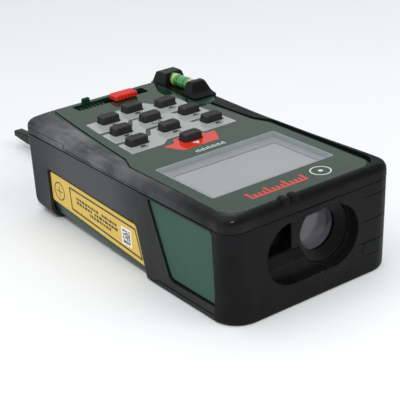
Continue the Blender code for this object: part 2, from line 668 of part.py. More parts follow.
def battery_cover():
    cover = slab("battery_cover", [rectangle((-COVER_X, COVER_X), (COVER_FRONT, COVER_REAR), 1.0)],
                 (0.1, 1.7), material="green_plastic")
    join(cover, box("channel", (PIN_X - GROOVE_HALF - 1.1, PIN_X + GROOVE_HALF + 1.1),
                    (COVER_FRONT + 0.1, COVER_REAR - 0.7), (0.6, GROOVE_TOP + 0.9)))
    cut(cover, box("groove", (PIN_X - GROOVE_HALF, PIN_X + GROOVE_HALF),
                   (COVER_FRONT - 2, COVER_REAR + 2), (-1.0, GROOVE_TOP)))
    for x in (-14.5, 13.5):
        join(cover, box("tab", (x - 2.5, x + 2.5), (-1.2, COVER_FRONT + 1.2), (2.1, 2.9)))
        join(cover, box("tab_web", (x - 2.5, x + 2.5), (COVER_FRONT + 0.2, COVER_FRONT + 1.2),
                        (1.2, 2.9)))
    cut(cover, box("latch_hole", (7.6, 16.4), (38.2, COVER_REAR + 1), (-1.0, 3.0)))
    move_origin(cover, (0.0, COVER_FRONT, 0.1))

    latch = slab("cover_latch", [rectangle((8.0, 16.0), (40.2, 44.7), 0.6)], (0.2, 1.6),
                 material="black_plastic")
    join(latch, box("tongue", (9.5, 14.5), (42.6, 44.7), (1.3, 2.9)))
    for n in range(3):
        y = 41.3 + n * 1.1
        cut(latch, box("groove", (8.8, 15.2), (y - 0.25, y + 0.25), (-1.0, 0.5)))


def battery_tray():
    """Roof and walls of the compartment, open to the cover."""
    inner = ((-24.8, 24.8), (1.8, 45.0))
    tray = box("battery_tray", (inner[0][0] - 0.7, inner[0][1] + 0.7),
               (inner[1][0] - 0.7, inner[1][1] + 0.7), (8.3, 20.4), "black_plastic")
    cut(tray, box("hollow", inner[0], inner[1], (0.0, 19.6)))
    return tray


def cell_y(n):
    return CELL_FIRST_Y + n * CELL_PITCH


def batteries():
    """Four cells across the body, wired in series by five contact strips."""
    for n in range(4):
        side = -1 if n % 2 == 0 else 1        # the side that the nub points to
        nub_end = side * NUB_X
        body = sorted((nub_end - side * NUB_LENGTH, nub_end - side * (NUB_LENGTH + CELL_LENGTH)))
        cell = rod(f"battery_{n + 1}", (cell_y(n), CELL_Z), "X", CELL_RADIUS, body, "cell_sleeve")
        nub = sorted((nub_end, nub_end - side * (NUB_LENGTH + 1.0)))
        join(cell, rod("nub", (cell_y(n), CELL_Z), "X", 1.9, nub, segments=12))
    contact_strip("contact_left_front", -1, 0, 0, None)
    contact_strip("contact_left_middle", -1, 1, 2, 1)
    contact_strip("contact_left_rear", -1, 3, 3, 3)
    contact_strip("contact_right_front", 1, 0, 1, 0)
    contact_strip("contact_right_rear", 1, 2, 3, 2)


def contact_strip(name, side, first, last, sprung):
    """Plate against the compartment wall, with a spring for the flat end of one cell."""
    plate = sorted((side * 24.2, side * 24.6))
    strip = box(name, plate, (cell_y(first) - 3.2, cell_y(last) + 3.2),
                (CELL_Z - 3.4, CELL_Z + 3.4), "steel")
    if sprung is None:
        return strip
    y = cell_y(sprung)
    tip = side * (CELL_LENGTH + NUB_LENGTH - NUB_X + GAP)
    base = side * 24.3
    rings = 4
    for k in range(rings):
        start = tip + (base - tip) * k / rings
        join(strip, rod("ring", (y, CELL_Z), "X", 1.5 + 0.5 * k, sorted((start, base)), segments=12))
    return cut(strip, rod("bore", (y, CELL_Z), "X", 0.9, sorted((tip - side, side * 26)),
                          segments=12))


# ---------------------------------------------------------------- inside

def electronics():
    board = slab("main_board", [rectangle((-24.5, 24.5), (-5.4, 44.0), 1.0)], (22.0, 23.6),
                 material="circuit_board")
    for x, y, size in ((-14.0, 20.0, 7.0), (6.0, 27.0, 5.0), (15.0, 6.0, 4.0), (-6.0, 4.0, 3.0)):
        join(board, box("chip", (x, x + size), (y, y + size), (23.4, 24.4)))
    slab("keypad_mat", [rectangle((-19.5, 19.5), (-0.6, 40.6), 2.0)], (24.9, 25.9),
         material="silicone")
    strip = [(-7.0, 24.0, 0), (-2.0, 24.0, 0), (-2.0, 24.3, 0), (-6.7, 24.3, 0), (-6.7, 27.4, 0),
             (-7.0, 27.4, 0)]
    slab("display_ribbon", [strip], (-9.0, 9.0), plane="YZ", material="polyimide")
    rod("buzzer", (20.2, -28.0), "Z", 4.4, (2.2, 6.2), "black_plastic")
    slab("receiver_board", [rectangle((-16.8, 14.6), (8.0, 24.8), 0.8)], (15.4, 17.0), plane="XZ",
         material="circuit_board")


def optics():
    chassis = box("optics_chassis", (-17.2, 15.2), (-46.0, -18.6), (7.8, 25.3), "anodised")
    bevel(chassis, 0.8)
    cut(chassis, rod("tube", LENS_AXIS, "Y", 8.0, (-50.0, -41.0), segments=32))
    cut(chassis, rod("light_path", LENS_AXIS, "Y", 6.6, (-42.0, -10.0), segments=32, top_radius=3.4))
    cut(chassis, rod("laser_bore", LASER_AXIS, "Y", 4.1, (-50.0, -10.0), segments=24))
    rod("laser_module", LASER_AXIS, "Y", 3.8, (-43.6, -22.0), "brass")
    rod("laser_window", LASER_AXIS, "Y", 3.8, (-45.2, -44.0), "lens_glass")
    rod("photodiode", LENS_AXIS, "Y", 2.5, (-21.0, -17.4), "steel", 16)

    ring = rod("lens_ring", LENS_AXIS, "Y", 7.7, (-46.4, -44.6), "anodised", 32)
    cut(ring, rod("ring_bore", LENS_AXIS, "Y", 6.4, (-50.0, -40.0), segments=32))
    lens = rod("receiving_lens", LENS_AXIS, "Y", 7.7, (-43.6, -42.4), "lens_glass", 32)
    join(lens, rod("crown", LENS_AXIS, "Y", 4.5, (-44.2, -43.2), segments=32, top_radius=7.5))
    return chassis


def fasteners():
    for n, (x, y, radius) in enumerate(screw_places()):
        screw = rod(f"housing_screw_{n + 1}", (x, y), "Z", 1.7, (1.3, 2.7), "steel", 16)
        join(screw, rod("shank", (x, y), "Z", 0.95, (2.2, 27.0), segments=12))
        cut(screw, box("drive", (x - 0.9, x + 0.9), (y - 0.25, y + 0.25), (0.0, 1.9)))
    insert = rod("tripod_insert", (0.0, -28.0), "Z", 3.8, (0.1, 6.0), "brass")
    cut(insert, rod("thread", (0.0, -28.0), "Z", 2.65, (-1.0, 8.0)))


clear_scene()
METER = make_collection("laser_distance_meter")
lower_housing()
upper_housing()
top_bumper()
side_grip(-1, "grip_left")
side_grip(1, "grip_right")
front_cap()
side_panel(-1, "side_panel_left")
side_panel(1, "side_panel_right")
side_label(-1, "label_left", "label_yellow")
side_label(1, "label_right", "label_silver")
fascia()
display_stack()
keys()
spirit_level()
positioning_pin()
pin_lock()
battery_cover()
battery_tray()
batteries()
electronics()
optics()
fasteners()
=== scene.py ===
import functools
import json
import math
import random

import bmesh
import bpy
from mathutils import Matrix, Vector


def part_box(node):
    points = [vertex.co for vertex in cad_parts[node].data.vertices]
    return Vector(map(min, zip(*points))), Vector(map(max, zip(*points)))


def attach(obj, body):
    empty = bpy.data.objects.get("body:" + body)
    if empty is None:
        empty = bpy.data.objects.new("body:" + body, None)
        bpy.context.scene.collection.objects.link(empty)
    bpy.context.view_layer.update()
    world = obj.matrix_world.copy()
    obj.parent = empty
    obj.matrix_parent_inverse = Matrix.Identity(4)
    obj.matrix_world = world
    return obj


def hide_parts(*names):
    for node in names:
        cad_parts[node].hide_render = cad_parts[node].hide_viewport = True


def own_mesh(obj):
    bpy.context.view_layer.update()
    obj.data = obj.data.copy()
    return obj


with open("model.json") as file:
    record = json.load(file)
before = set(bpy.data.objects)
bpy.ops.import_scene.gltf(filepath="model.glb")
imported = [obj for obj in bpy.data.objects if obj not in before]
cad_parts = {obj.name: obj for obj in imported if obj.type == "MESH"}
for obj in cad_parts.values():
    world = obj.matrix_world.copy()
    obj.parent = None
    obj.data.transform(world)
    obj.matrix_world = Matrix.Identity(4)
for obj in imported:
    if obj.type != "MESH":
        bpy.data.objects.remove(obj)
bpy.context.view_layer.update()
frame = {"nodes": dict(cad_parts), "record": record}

MM = 0.001
SEED = 7
SHARP = 32

# Levels and outlines shared with the CAD
FRONT = -52.0
REAR = 52.0
RUBBER_REAR = 53.0
HALF_WIDTH = 29.0
REAR_HALF_WIDTH = 28.9
FRONT_CORNER = 5.2
REAR_CORNER = 2.0
CORE_HALF_WIDTH = 27.6
CORE_FRONT = -48.4
CORE_REAR = 50.5
CORE_CORNER = 3.6
TONGUE_HALF_WIDTH = 18.8
GAP = 0.3
RUBBER_SPLIT = 26.9
DECK_TOP = 29.16
FASCIA_TOP = 30.66
RISE = 1.7
RISE_FROM = -10.0
KEY_SIZE = (6.4, 4.0)
KEY_PROUD = 2.2
LENS_AXIS = (5.2, 17.0)
LASER_AXIS = (-11.6, 20.6)
LEVEL_X = 24.2
LEVEL_TOP = 36.0
LEVEL_FRONT = 28.1
LEVEL_REAR = 53.4
VIAL_Z = 33.6
VIAL_RADIUS = 2.1
DISPLAY = ((-21.4, 21.4), (-36.0, -9.0))
PLATE_BEND = 3.2
CORNER_CUT = 22.3
CORNER_CUT_RADIUS = 4.9
WELL_RADIUS = 8.9
WINDOW_TOP = 26.1

# Reaches that lie outside the body, for cutters
FAR = 60.0
ABOVE = 40.0

ACROSS = Vector((1, 0, 0))
ALONG = Vector((0, 1, 0))
HANDLED_CORNER = (-26.5, -50.0, 29.5)

KEYS = {"key_measure": (0.0, 3.3)}
KEYS.update({f"key_middle_{n + 1}": (0.0, y) for n, y in enumerate((35.0, 24.7, 14.4))})
for _n, (_x, _y) in enumerate(((10.7, 31.9), (12.7, 21.75), (13.8, 11.4))):
    KEYS[f"key_left_{_n + 1}"] = (-_x, _y)
    KEYS[f"key_right_{_n + 1}"] = (_x, _y)

PLANES = {
    "XY": Matrix.Identity(4),
    "YZ": Matrix(((0, 0, 1, 0), (1, 0, 0, 0), (0, 1, 0, 0), (0, 0, 0, 1))),
    "XZ": Matrix(((1, 0, 0, 0), (0, 0, -1, 0), (0, 1, 0, 0), (0, 0, 0, 1))),
}


# ---------------------------------------------------------------- materials

def put(node, **values):
    """Set a node's own sockets; an underscore stands for a space."""
    for name, value in values.items():
        node.inputs[name.replace("_", " ")].default_value = value


class Nodes:
    """Small helper round a material's node tree."""

    def __init__(self, name):
        self.material = bpy.data.materials.new(name)
        self.material.use_nodes = True
        self.tree = self.material.node_tree
        self.shader = self.tree.nodes["Principled BSDF"]
        self.place = self.new("ShaderNodeTexCoord").outputs["Object"]

    def new(self, kind, **settings):
        node = self.tree.nodes.new(kind)
        for key, value in settings.items():
            setattr(node, key, value)
        return node

    def link(self, output, socket):
        self.tree.links.new(output, socket)

    def noise(self, scale, detail=3.0, roughness=0.55, stretch=(1, 1, 1)):
        """Noise whose scale is in bumps per millimetre."""
        mapping = self.new("ShaderNodeMapping")
        put(mapping, Scale=[s * 1000 * scale for s in stretch])
        self.link(self.place, mapping.inputs["Vector"])
        node = self.new("ShaderNodeTexNoise")
        put(node, Scale=1.0, Detail=detail, Roughness=roughness)
        self.link(mapping.outputs["Vector"], node.inputs["Vector"])
        return node.outputs["Fac"]

    def spread(self, value, low, high, out_low=0.0, out_high=1.0):
        node = self.new("ShaderNodeMapRange")
        put(node, From_Min=low, From_Max=high, To_Min=out_low, To_Max=out_high)
        self.link(value, node.inputs["Value"])
        return node.outputs["Result"]

    def times(self, first, second):
        node = self.new("ShaderNodeMath", operation="MULTIPLY")
        self.link(first, node.inputs[0])
        self.link(second, node.inputs[1])
        return node.outputs[0]

    def mix(self, fac, a, b):
        node = self.new("ShaderNodeMix", data_type="RGBA")
        for socket, value in ((node.inputs[0], fac), (node.inputs[6], a), (node.inputs[7], b)):
            if isinstance(value, bpy.types.NodeSocket):
                self.link(value, socket)
            elif isinstance(value, (int, float)):
                socket.default_value = value
            else:
                socket.default_value = (*value, 1.0)
        return node.outputs[2]

    def bump(self, height, distance, strength=1.0):
        node = self.new("ShaderNodeBump")
        put(node, Distance=distance * MM, Strength=strength)
        self.link(height, node.inputs["Height"])
        self.link(node.outputs["Normal"], self.shader.inputs["Normal"])

    def axes(self):
        """The place split into X, Y and Z."""
        split = self.new("ShaderNodeSeparateXYZ")
        self.link(self.place, split.inputs[0])
        return split.outputs

    def distance(self, place, point):
        """Distance from a point given in millimetres."""
        node = self.new("ShaderNodeVectorMath", operation="DISTANCE")
        self.link(place, node.inputs[0])
        node.inputs[1].default_value = [value * MM for value in point]
        return node.outputs["Value"]

    def edges(self, low, high, most=1.0):
        """Strength of the rubbed edges of the mesh."""
        geometry = self.new("ShaderNodeNewGeometry")
        return self.spread(geometry.outputs["Pointiness"], low, high, 0.0, most)

    def finish(self, colour, roughness, spec=0.5):
        """Join colour and roughness to the shader, and hand over the material."""
        self.link(colour, self.shader.inputs["Base Color"])
        self.link(roughness, self.shader.inputs["Roughness"])
        put(self.shader, Specular_IOR_Level=spec)
        return self.material


def surface(name, colour, roughness, metallic=0.0, grain=None, patches=None, tint=None,
            spec=0.5, coat=0.0, wear=None, **extra):
    """Principled material: base colour with patches, roughness that varies, fine grain in relief."""
    nodes = Nodes(name)
    put(nodes.shader, Metallic=metallic, Coat_Weight=coat, **extra)
    scale, amount = patches or (0.08, 0.12)
    cloud = nodes.spread(nodes.noise(scale, 4.0), 0.35, 0.65)
    other = tint or tuple(min(1.0, c * (1 + amount) + 0.002) for c in colour)
    shade = nodes.mix(cloud, colour, other)
    if wear:
        shade = nodes.mix(nodes.edges(0.50, 0.56), shade, wear)
    if grain:
        grain_scale, depth = grain
        nodes.bump(nodes.noise(grain_scale, 2.0), depth)
    rough = nodes.spread(nodes.noise(0.6, 5.0), 0.3, 0.7, roughness * 0.88, min(1.0, roughness * 1.12))
    return nodes.finish(shade, rough, spec)


def rubber_with_dust_and_shade(name, dark, dust, amount, spec, across, length, fade, least, polish):
    """Rubber with a film of dust in clouds, finer specks and rubbed edges.

    The film thins out to the share least between two places in x, and towards both ends in y; the
    fading towards the rear is painted shade, for the darker floor that the rounded rear rubber
    mirrors.
    Near the front left corner the rubber is polished by handling."""
    nodes = Nodes(name)
    axes = nodes.axes()
    sideways = nodes.spread(axes["X"], across[0] * MM, across[1] * MM, 1.0, least)
    forward = nodes.spread(axes["Y"], length[0] * MM, length[1] * MM, least, 1.0)
    # Painted shade: the film fades towards the rear, so the rear comes out darker.
    backward = nodes.spread(axes["Y"], fade[0] * MM, fade[1] * MM, 1.0, least)
    # Share of the pale film: dust, with painted shade towards the rear.
    dust_and_shade = nodes.times(nodes.times(sideways, forward), backward)
    clouds = nodes.spread(nodes.noise(0.07, 6.0, 0.62), 0.25, 0.75)
    smears = nodes.spread(nodes.noise(0.5, 4.0, 0.6, (1.0, 0.18, 1.0)), 0.45, 0.75, 0.0, 0.7)
    film = nodes.new("ShaderNodeMath", operation="MULTIPLY_ADD", use_clamp=True)
    nodes.link(clouds, film.inputs[0])
    film.inputs[1].default_value = amount
    nodes.link(nodes.spread(smears, 0.0, 1.0, 0.0, amount * 0.5), film.inputs[2])
    shade = nodes.mix(nodes.times(film.outputs[0], dust_and_shade), dark, dust)
    rubbed = nodes.times(nodes.edges(0.51, 0.60, 0.45), dust_and_shade)
    shade = nodes.mix(rubbed, shade, tuple(c * 1.5 for c in dust))
    nodes.bump(nodes.noise(3.2, 3.0), 0.012, 0.8)
    reach = nodes.distance(nodes.place, HANDLED_CORNER)
    handled = nodes.spread(reach, 3.0 * MM, 8.0 * MM, polish, 1.0)
    rough = nodes.spread(clouds, 0.0, 1.0, 0.46, 0.62)
    return nodes.finish(shade, nodes.times(rough, handled), spec)


def nose_look():
    """Black moulding with specks of dust that collected round the lens."""
    nodes = Nodes("nose_black")
    axes = nodes.axes()
    flat = nodes.new("ShaderNodeCombineXYZ")
    for letter in "XZ":
        nodes.link(axes[letter], flat.inputs[letter])
    reach = nodes.distance(flat.outputs[0], (LENS_AXIS[0], 0.0, LENS_AXIS[1] - 2.0))
    near = nodes.spread(reach, 9.0 * MM, 14.0 * MM, 1.0, 0.0)
    specks = nodes.spread(nodes.noise(2.4, 3.0), 0.60, 0.70, 0.0, 0.5)
    cloud = nodes.spread(nodes.noise(0.10, 4.0), 0.35, 0.65)
    shade = nodes.mix(cloud, (0.0040, 0.0042, 0.0046), (0.0075, 0.0078, 0.0085))
    shade = nodes.mix(nodes.times(near, specks), shade, (0.10, 0.095, 0.085))
    nodes.bump(nodes.noise(2.6, 2.0), 0.010)
    return nodes.finish(shade, nodes.spread(cloud, 0.0, 1.0, 0.42, 0.50), spec=0.11)


def printed_film(name, colour):
    """Glossy printed film: flat ink under a clear polished skin with faint waves."""
    nodes = Nodes(name)
    speck = nodes.spread(nodes.noise(0.9, 4.0), 0.62, 0.72, 0.0, 0.06)
    nodes.bump(nodes.noise(0.12, 1.0), 0.006, 0.5)
    return nodes.finish(nodes.mix(speck, colour, (0.55, 0.57, 0.55)),
                        nodes.spread(nodes.noise(0.5, 3.0), 0.3, 0.7, 0.045, 0.09), spec=0.4)


def clear_pane(name):
    """Clear window whose outer faces mirror the room and let the rest through."""
    nodes = Nodes(name)
    nodes.tree.nodes.remove(nodes.shader)
    out = nodes.tree.nodes["Material Output"]
    clear = nodes.new("ShaderNodeBsdfTransparent")
    gloss = nodes.new("ShaderNodeBsdfGlossy")
    nodes.link(nodes.spread(nodes.noise(0.5, 3.0), 0.3, 0.7, 0.02, 0.06), gloss.inputs["Roughness"])
    fresnel = nodes.new("ShaderNodeFresnel")
    put(fresnel, IOR=1.49)
    geometry = nodes.new("ShaderNodeNewGeometry")
    outside = nodes.new("ShaderNodeMath", operation="SUBTRACT")
    outside.inputs[0].default_value = 1.0
    nodes.link(geometry.outputs["Backfacing"], outside.inputs[1])
    mixed = nodes.new("ShaderNodeMixShader")
    share = nodes.times(fresnel.outputs[0], outside.outputs[0])
    for output, socket in zip((share, clear.outputs[0], gloss.outputs[0]), mixed.inputs):
        nodes.link(output, socket)
    nodes.link(mixed.outputs[0], out.inputs["Surface"])
    return nodes.material


def brushed(name, colour, roughness, stretch=(1, 1, 12)):
    """Metal with drawn lines along one axis."""
    nodes = Nodes(name)
    put(nodes.shader, Metallic=1.0)
    lines = nodes.noise(1.6, 3.0, 0.6, tuple(1 / s for s in stretch))
    darker = tuple(c * 0.8 for c in colour)
    nodes.bump(lines, 0.004)
    return nodes.finish(nodes.mix(nodes.spread(lines, 0.35, 0.65), darker, colour),
                        nodes.spread(lines, 0.3, 0.7, roughness * 0.8, roughness * 1.3))


def board_look():
    """Solder mask with paler tracks and a fine weave."""
    nodes = Nodes("board_look")
    brick = nodes.new("ShaderNodeTexBrick")
    put(brick, Scale=260.0, Mortar_Size=0.02, Color1=(0.015, 0.13, 0.05, 1.0),
        Color2=(0.02, 0.17, 0.07, 1.0), Mortar=(0.05, 0.26, 0.11, 1.0))
    nodes.link(nodes.place, brick.inputs["Vector"])
    nodes.bump(nodes.noise(4.0, 1.0), 0.01)
    return nodes.finish(brick.outputs["Color"], nodes.spread(nodes.noise(1.0), 0.3, 0.7, 0.3, 0.45))


# Dusty rubber whose rear is darkened as painted shade by the fade.
RUBBER = rubber_with_dust_and_shade("rubber_side", (0.0050, 0.0055, 0.0062), (0.070, 0.073, 0.078), 0.50,
                      spec=0.27, across=(-1.0, 1.0), length=(-14.0, 4.0), fade=(30.0, 50.0),
                      least=0.10, polish=1.0)
RUBBER_TOP = rubber_with_dust_and_shade("rubber_rim", (0.0036, 0.0038, 0.0041), (0.170, 0.176, 0.182), 1.0,
                          spec=0.14, across=(-22.0, -15.0), length=(-42.0, 12.0), fade=(30.0, 62.0),
                          least=0.03, polish=0.45)
NOSE_BLACK = nose_look()
HOLDER_BLACK = surface("holder_black", (0.004, 0.004, 0.0043), 0.40, grain=(2.2, 0.008),
                       tint=(0.008, 0.008, 0.008), spec=0.15)
INNER_BLACK = surface("inner_black", (0.006, 0.006, 0.007), 0.5, grain=(2.0, 0.01))
SHELL_GREEN = surface("shell_green", (0.004, 0.026, 0.015), 0.34, grain=(2.4, 0.008),
                      tint=(0.006, 0.034, 0.021))
PANEL_GREEN = surface("panel_green", (0.013, 0.070, 0.048), 0.40, grain=(3.0, 0.014),
                      tint=(0.016, 0.079, 0.055), patches=(0.05, 0.1), spec=0.24)
FILM_GREEN = printed_film("film_green", (0.005, 0.028, 0.013))
FILM_GREY = printed_film("film_grey", (0.34, 0.35, 0.355))
FILM_INK = printed_film("film_ink", (0.012, 0.014, 0.014))
FILM_RED = printed_film("film_red", (0.60, 0.030, 0.012))
FILM_WHITE = printed_film("film_white", (0.62, 0.64, 0.63))
KEY_BLACK = surface("key_black", (0.008, 0.008, 0.0075), 0.52, grain=(3.0, 0.012),
                    tint=(0.014, 0.014, 0.0125), patches=(0.25, 0.2), wear=(0.030, 0.030, 0.028),
                    spec=0.3)
SLIDER_RED = surface("slider_red", (0.66, 0.022, 0.010), 0.30, grain=(2.0, 0.006),
                     tint=(0.72, 0.035, 0.018))
LCD_GREY = surface("lcd_grey", (0.285, 0.305, 0.305), 0.32, grain=(5.0, 0.002),
                   tint=(0.298, 0.316, 0.316), patches=(0.03, 0.05))
BEZEL_GREY = surface("bezel_grey", (0.205, 0.22, 0.245), 0.45, grain=(2.0, 0.004))
# Painted highlight: the ring round the window is a paler grey than the bezel, for the light caught by
# the window's bevelled edge.
WINDOW_EDGE_HIGHLIGHT = surface("window_edge_highlight", (0.27, 0.325, 0.33), 0.4, grain=(2.0, 0.004))
BEZEL_BLACK = surface("bezel_ring", (0.085, 0.087, 0.095), 0.32, grain=(2.0, 0.004))
WELL_BLACK = surface("well_black", (0.0035, 0.0035, 0.004), 0.32, grain=(3.0, 0.006), spec=0.16)
LABEL_YELLOW = surface("label_yellow", (0.755, 0.505, 0.060), 0.42, grain=(1.6, 0.006),
                       tint=(0.79, 0.54, 0.075), patches=(0.06, 0.1))
LABEL_INK = surface("label_ink", (0.035, 0.033, 0.030), 0.5, grain=(2.0, 0.003))
LABEL_WHITE = surface("label_white", (0.80, 0.80, 0.78), 0.45, grain=(2.0, 0.003))
LABEL_SILVER = surface("label_silver", (0.52, 0.53, 0.53), 0.38, grain=(2.0, 0.004), metallic=0.3)
# Painted reflection: the lens gets a pale grey base colour, far lighter than dark coated glass, for
# the room it mirrors and to make up for the shade in the deep well.
LENS_PAINTED_REFLECTION = surface("lens_painted_reflection", (0.125, 0.125, 0.14), 0.14, patches=(0.05, 0.1),
                      tint=(0.137, 0.137, 0.155))
GLASS_GREY = surface("glass_grey", (0.055, 0.056, 0.062), 0.06, patches=(0.05, 0.1), coat=0.6,
                     tint=(0.075, 0.075, 0.085))
VIAL_GREEN = surface("vial_green", (0.022, 0.30, 0.055), 0.07, patches=(0.3, 0.2), coat=0.8,
                     tint=(0.035, 0.38, 0.07), Transmission_Weight=0.2)
VIAL_END = surface("vial_end", (0.42, 0.50, 0.10), 0.15, patches=(0.6, 0.3), coat=0.4,
                   tint=(0.55, 0.55, 0.20))
# The bubble is real; its pale, nearly white colour is a painted highlight along the top of the vial.
BUBBLE_HIGHLIGHT = surface("bubble_painted_highlight", (0.70, 0.82, 0.66), 0.06, patches=(0.6, 0.2), coat=0.8)
PANE = clear_pane("clear_pane")
ANODISED = surface("anodised_black", (0.012, 0.012, 0.014), 0.30, metallic=0.6, grain=(3.0, 0.006))
STEEL = brushed("drawn_steel", (0.60, 0.60, 0.61), 0.28)
BRASS = brushed("turned_brass", (0.72, 0.52, 0.22), 0.30, (6, 1, 6))
BOARD = board_look()
SILICONE = surface("silicone_grey", (0.17, 0.17, 0.18), 0.6, grain=(2.0, 0.01))
SLEEVE = surface("cell_sleeve", (0.035, 0.045, 0.065), 0.22, patches=(0.05, 0.3), coat=0.5,
                 tint=(0.06, 0.07, 0.09))
AMBER_FILM = surface("amber_film", (0.55, 0.26, 0.05), 0.30, grain=(1.0, 0.004))

SLOT_LOOKS = {
    "green_plastic": SHELL_GREEN, "panel_green": PANEL_GREEN, "fascia_gloss": FILM_GREEN,
    "black_rubber": RUBBER, "black_plastic": HOLDER_BLACK, "key_rubber": KEY_BLACK,
    "red_plastic": SLIDER_RED, "clear_window": PANE, "lcd_grey": LCD_GREY,
    "bezel_grey": BEZEL_GREY, "label_yellow": LABEL_YELLOW, "label_silver": LABEL_SILVER,
    "lens_glass": GLASS_GREY, "vial_green": VIAL_GREEN, "anodised": ANODISED, "brass": BRASS,
    "steel": STEEL, "circuit_board": BOARD, "silicone": SILICONE, "cell_sleeve": SLEEVE,
    "polyimide": AMBER_FILM,
}


def paint_cad_nodes():
    """Give every carried-over CAD node the look of its material slot."""
    slots = {row["node"]: row["material_slot"] for row in frame["record"]["subparts"]}
    for name, obj in frame["nodes"].items():
        look = SLOT_LOOKS[slots[name]]
        if not obj.material_slots:
            obj.data.materials.append(look)
        for slot in obj.material_slots:
            slot.material = look
        shade(obj, SHARP)


# ---------------------------------------------------------------- mesh helpers

def new_object(name, data):
    """Object in the scene for a mesh, a curve, a light or a camera."""
    obj = bpy.data.objects.new(name, data)
    bpy.context.scene.collection.objects.link(obj)
    return obj


def shade(obj, angle):
    """Smooth shading between sharp edges; the large faces decide how rounded edges look."""
    obj.data.shade_smooth()
    obj.data.set_sharp_from_angle(angle=math.radians(angle))
    obj.modifiers.new("even_shading", "WEIGHTED_NORMAL").keep_sharp = True


def face_outward(bm):
    """Flip the faces if they look inwards."""
    if bm.calc_volume(signed=True) < 0:
        bmesh.ops.reverse_faces(bm, faces=bm.faces)


def finish_mesh(name, bm, look, slot, stands_for=None, body="meter", angle=SHARP):
    """Turn a bmesh in millimetres into a piece on a body; it may stand for a CAD node."""
    face_outward(bm)
    bm.transform(Matrix.Scale(MM, 4))
    mesh = bpy.data.meshes.new(name)
    bm.to_mesh(mesh)
    bm.free()
    obj = new_object(name, mesh)
    mesh.materials.append(look)
    shade(obj, angle)
    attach(obj, body)
    if stands_for:
        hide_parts(stands_for)
    return obj


def holder(bm):
    """Temporary object for a Boolean; the bmesh is used up."""
    mesh = bpy.data.meshes.new("tool")
    face_outward(bm)
    bmesh.ops.triangulate(bm, faces=[face for face in bm.faces if len(face.verts) > 4])
    bm.to_mesh(mesh)
    bm.free()
    return new_object("tool", mesh)


def evaluated(*objects):
    """Bmesh of the first object as its modifiers leave it; all the objects are deleted."""
    graph = bpy.context.evaluated_depsgraph_get()
    graph.update()
    mesh = bpy.data.meshes.new_from_object(objects[0].evaluated_get(graph))
    bm = bmesh.new()
    bm.from_mesh(mesh)
    for obj in objects:
        bpy.data.objects.remove(obj, do_unlink=True)
    bpy.data.meshes.remove(mesh)
    return bm


def combine(bm, tools, operation):
    """Boolean of a bmesh with others in turn; all are used up."""
    for tool in tools:
        target, other = holder(bm), holder(tool)
        modifier = target.modifiers.new("boolean", "BOOLEAN")
        modifier.object = other
        modifier.operation = operation
        modifier.solver = "MANIFOLD"
        bm = evaluated(target, other)
        bmesh.ops.remove_doubles(bm, verts=bm.verts, dist=0.0005)
    return bm


def cut(bm, *tools):
    """The bmesh without the tools."""
    return combine(bm, tools, "DIFFERENCE")


def join(bm, *tools):
    """The bmesh and the tools as one solid."""
    return combine(bm, tools, "UNION")


def keep(bm, *tools):
    """What the bmesh and the tools have in common."""
    return combine(bm, tools, "INTERSECT")


def fillet(corners, step=12):
    """Closed outline through corners (x, y, radius), each corner rounded with an arc."""
    points = []
    for i, (x, y, radius) in enumerate(corners):
        here = Vector((x, y))
        if radius == 0:
            points.append(here)
            continue
        back = (Vector(corners[i - 1][:2]) - here).normalized()
        ahead = (Vector(corners[(i + 1) % len(corners)][:2]) - here).normalized()
        half = back.angle(ahead) / 2
        centre = here + (back + ahead).normalized() * (radius / math.sin(half))
        start = here + back * (radius / math.tan(half)) - centre
        end = here + ahead * (radius / math.tan(half)) - centre
        first = math.atan2(start.y, start.x)
        sweep = (math.atan2(end.y, end.x) - first + math.pi) % (2 * math.pi) - math.pi
        count = max(1, math.ceil(abs(math.degrees(sweep)) / step - 0.01))
        for k in range(count + 1):
            angle = first + sweep * k / count
            points.append(centre + radius * Vector((math.cos(angle), math.sin(angle))))
    return points


def rectangle(x, y, radius=0.0):
    return [(x[0], y[0], radius), (x[1], y[0], radius), (x[1], y[1], radius), (x[0], y[1], radius)]


def slab(outlines, limits, plane="XY", step=12):
    """Flat piece from filled outlines; every outline after the first is a hole."""
    curve = bpy.data.curves.new("outline", "CURVE")
    curve.dimensions = "2D"
    curve.fill_mode = "BOTH"
    curve.extrude = (limits[1] - limits[0]) / 2
    for corners in outlines:
        points = fillet(corners, step)
        spline = curve.splines.new("POLY")
        spline.points.add(len(points) - 1)
        for target, point in zip(spline.points, points):
            target.co = (point.x, point.y, 0.0, 1.0)
        spline.use_cyclic_u = True
    bm = evaluated(new_object("outline", curve))
    bpy.data.curves.remove(curve)
    bmesh.ops.remove_doubles(bm, verts=bm.verts, dist=0.005)
    bm.transform(PLANES[plane] @ Matrix.Translation((0, 0, (limits[0] + limits[1]) / 2)))
    return bm


def box(x, y, z):
    return slab([rectangle(x, y)], z)


def rod(centre, axis, radius, ends, segments=48):
    """Cylinder along Y or Z between two limits; centre gives the other two places."""
    bm = bmesh.new()
    bmesh.ops.create_cone(bm, cap_ends=True, segments=segments, radius1=radius, radius2=radius,
                          depth=ends[1] - ends[0])
    middle = (ends[0] + ends[1]) / 2
    where, turn = {"Y": ((centre[0], middle, centre[1]), Matrix.Rotation(-math.pi / 2, 4, "X")),
                   "Z": ((centre[0], centre[1], middle), Matrix.Identity(4))}[axis]
    bm.transform(Matrix.Translation(Vector(where)) @ turn)
    return bm


def bridge(bm, rings):
    """Walls between rings of vertices of equal count, one after the other."""
    for near, far in zip(rings, rings[1:]):
        for i in range(len(near)):
            j = (i + 1) % len(near)
            bm.faces.new((near[i], near[j], far[j], far[i]))


def close(bm, rings):
    """Walls between the rings, and a cap at each end."""
    bridge(bm, rings)
    bm.faces.new(reversed(rings[0]))
    bm.faces.new(rings[-1])
    return bm


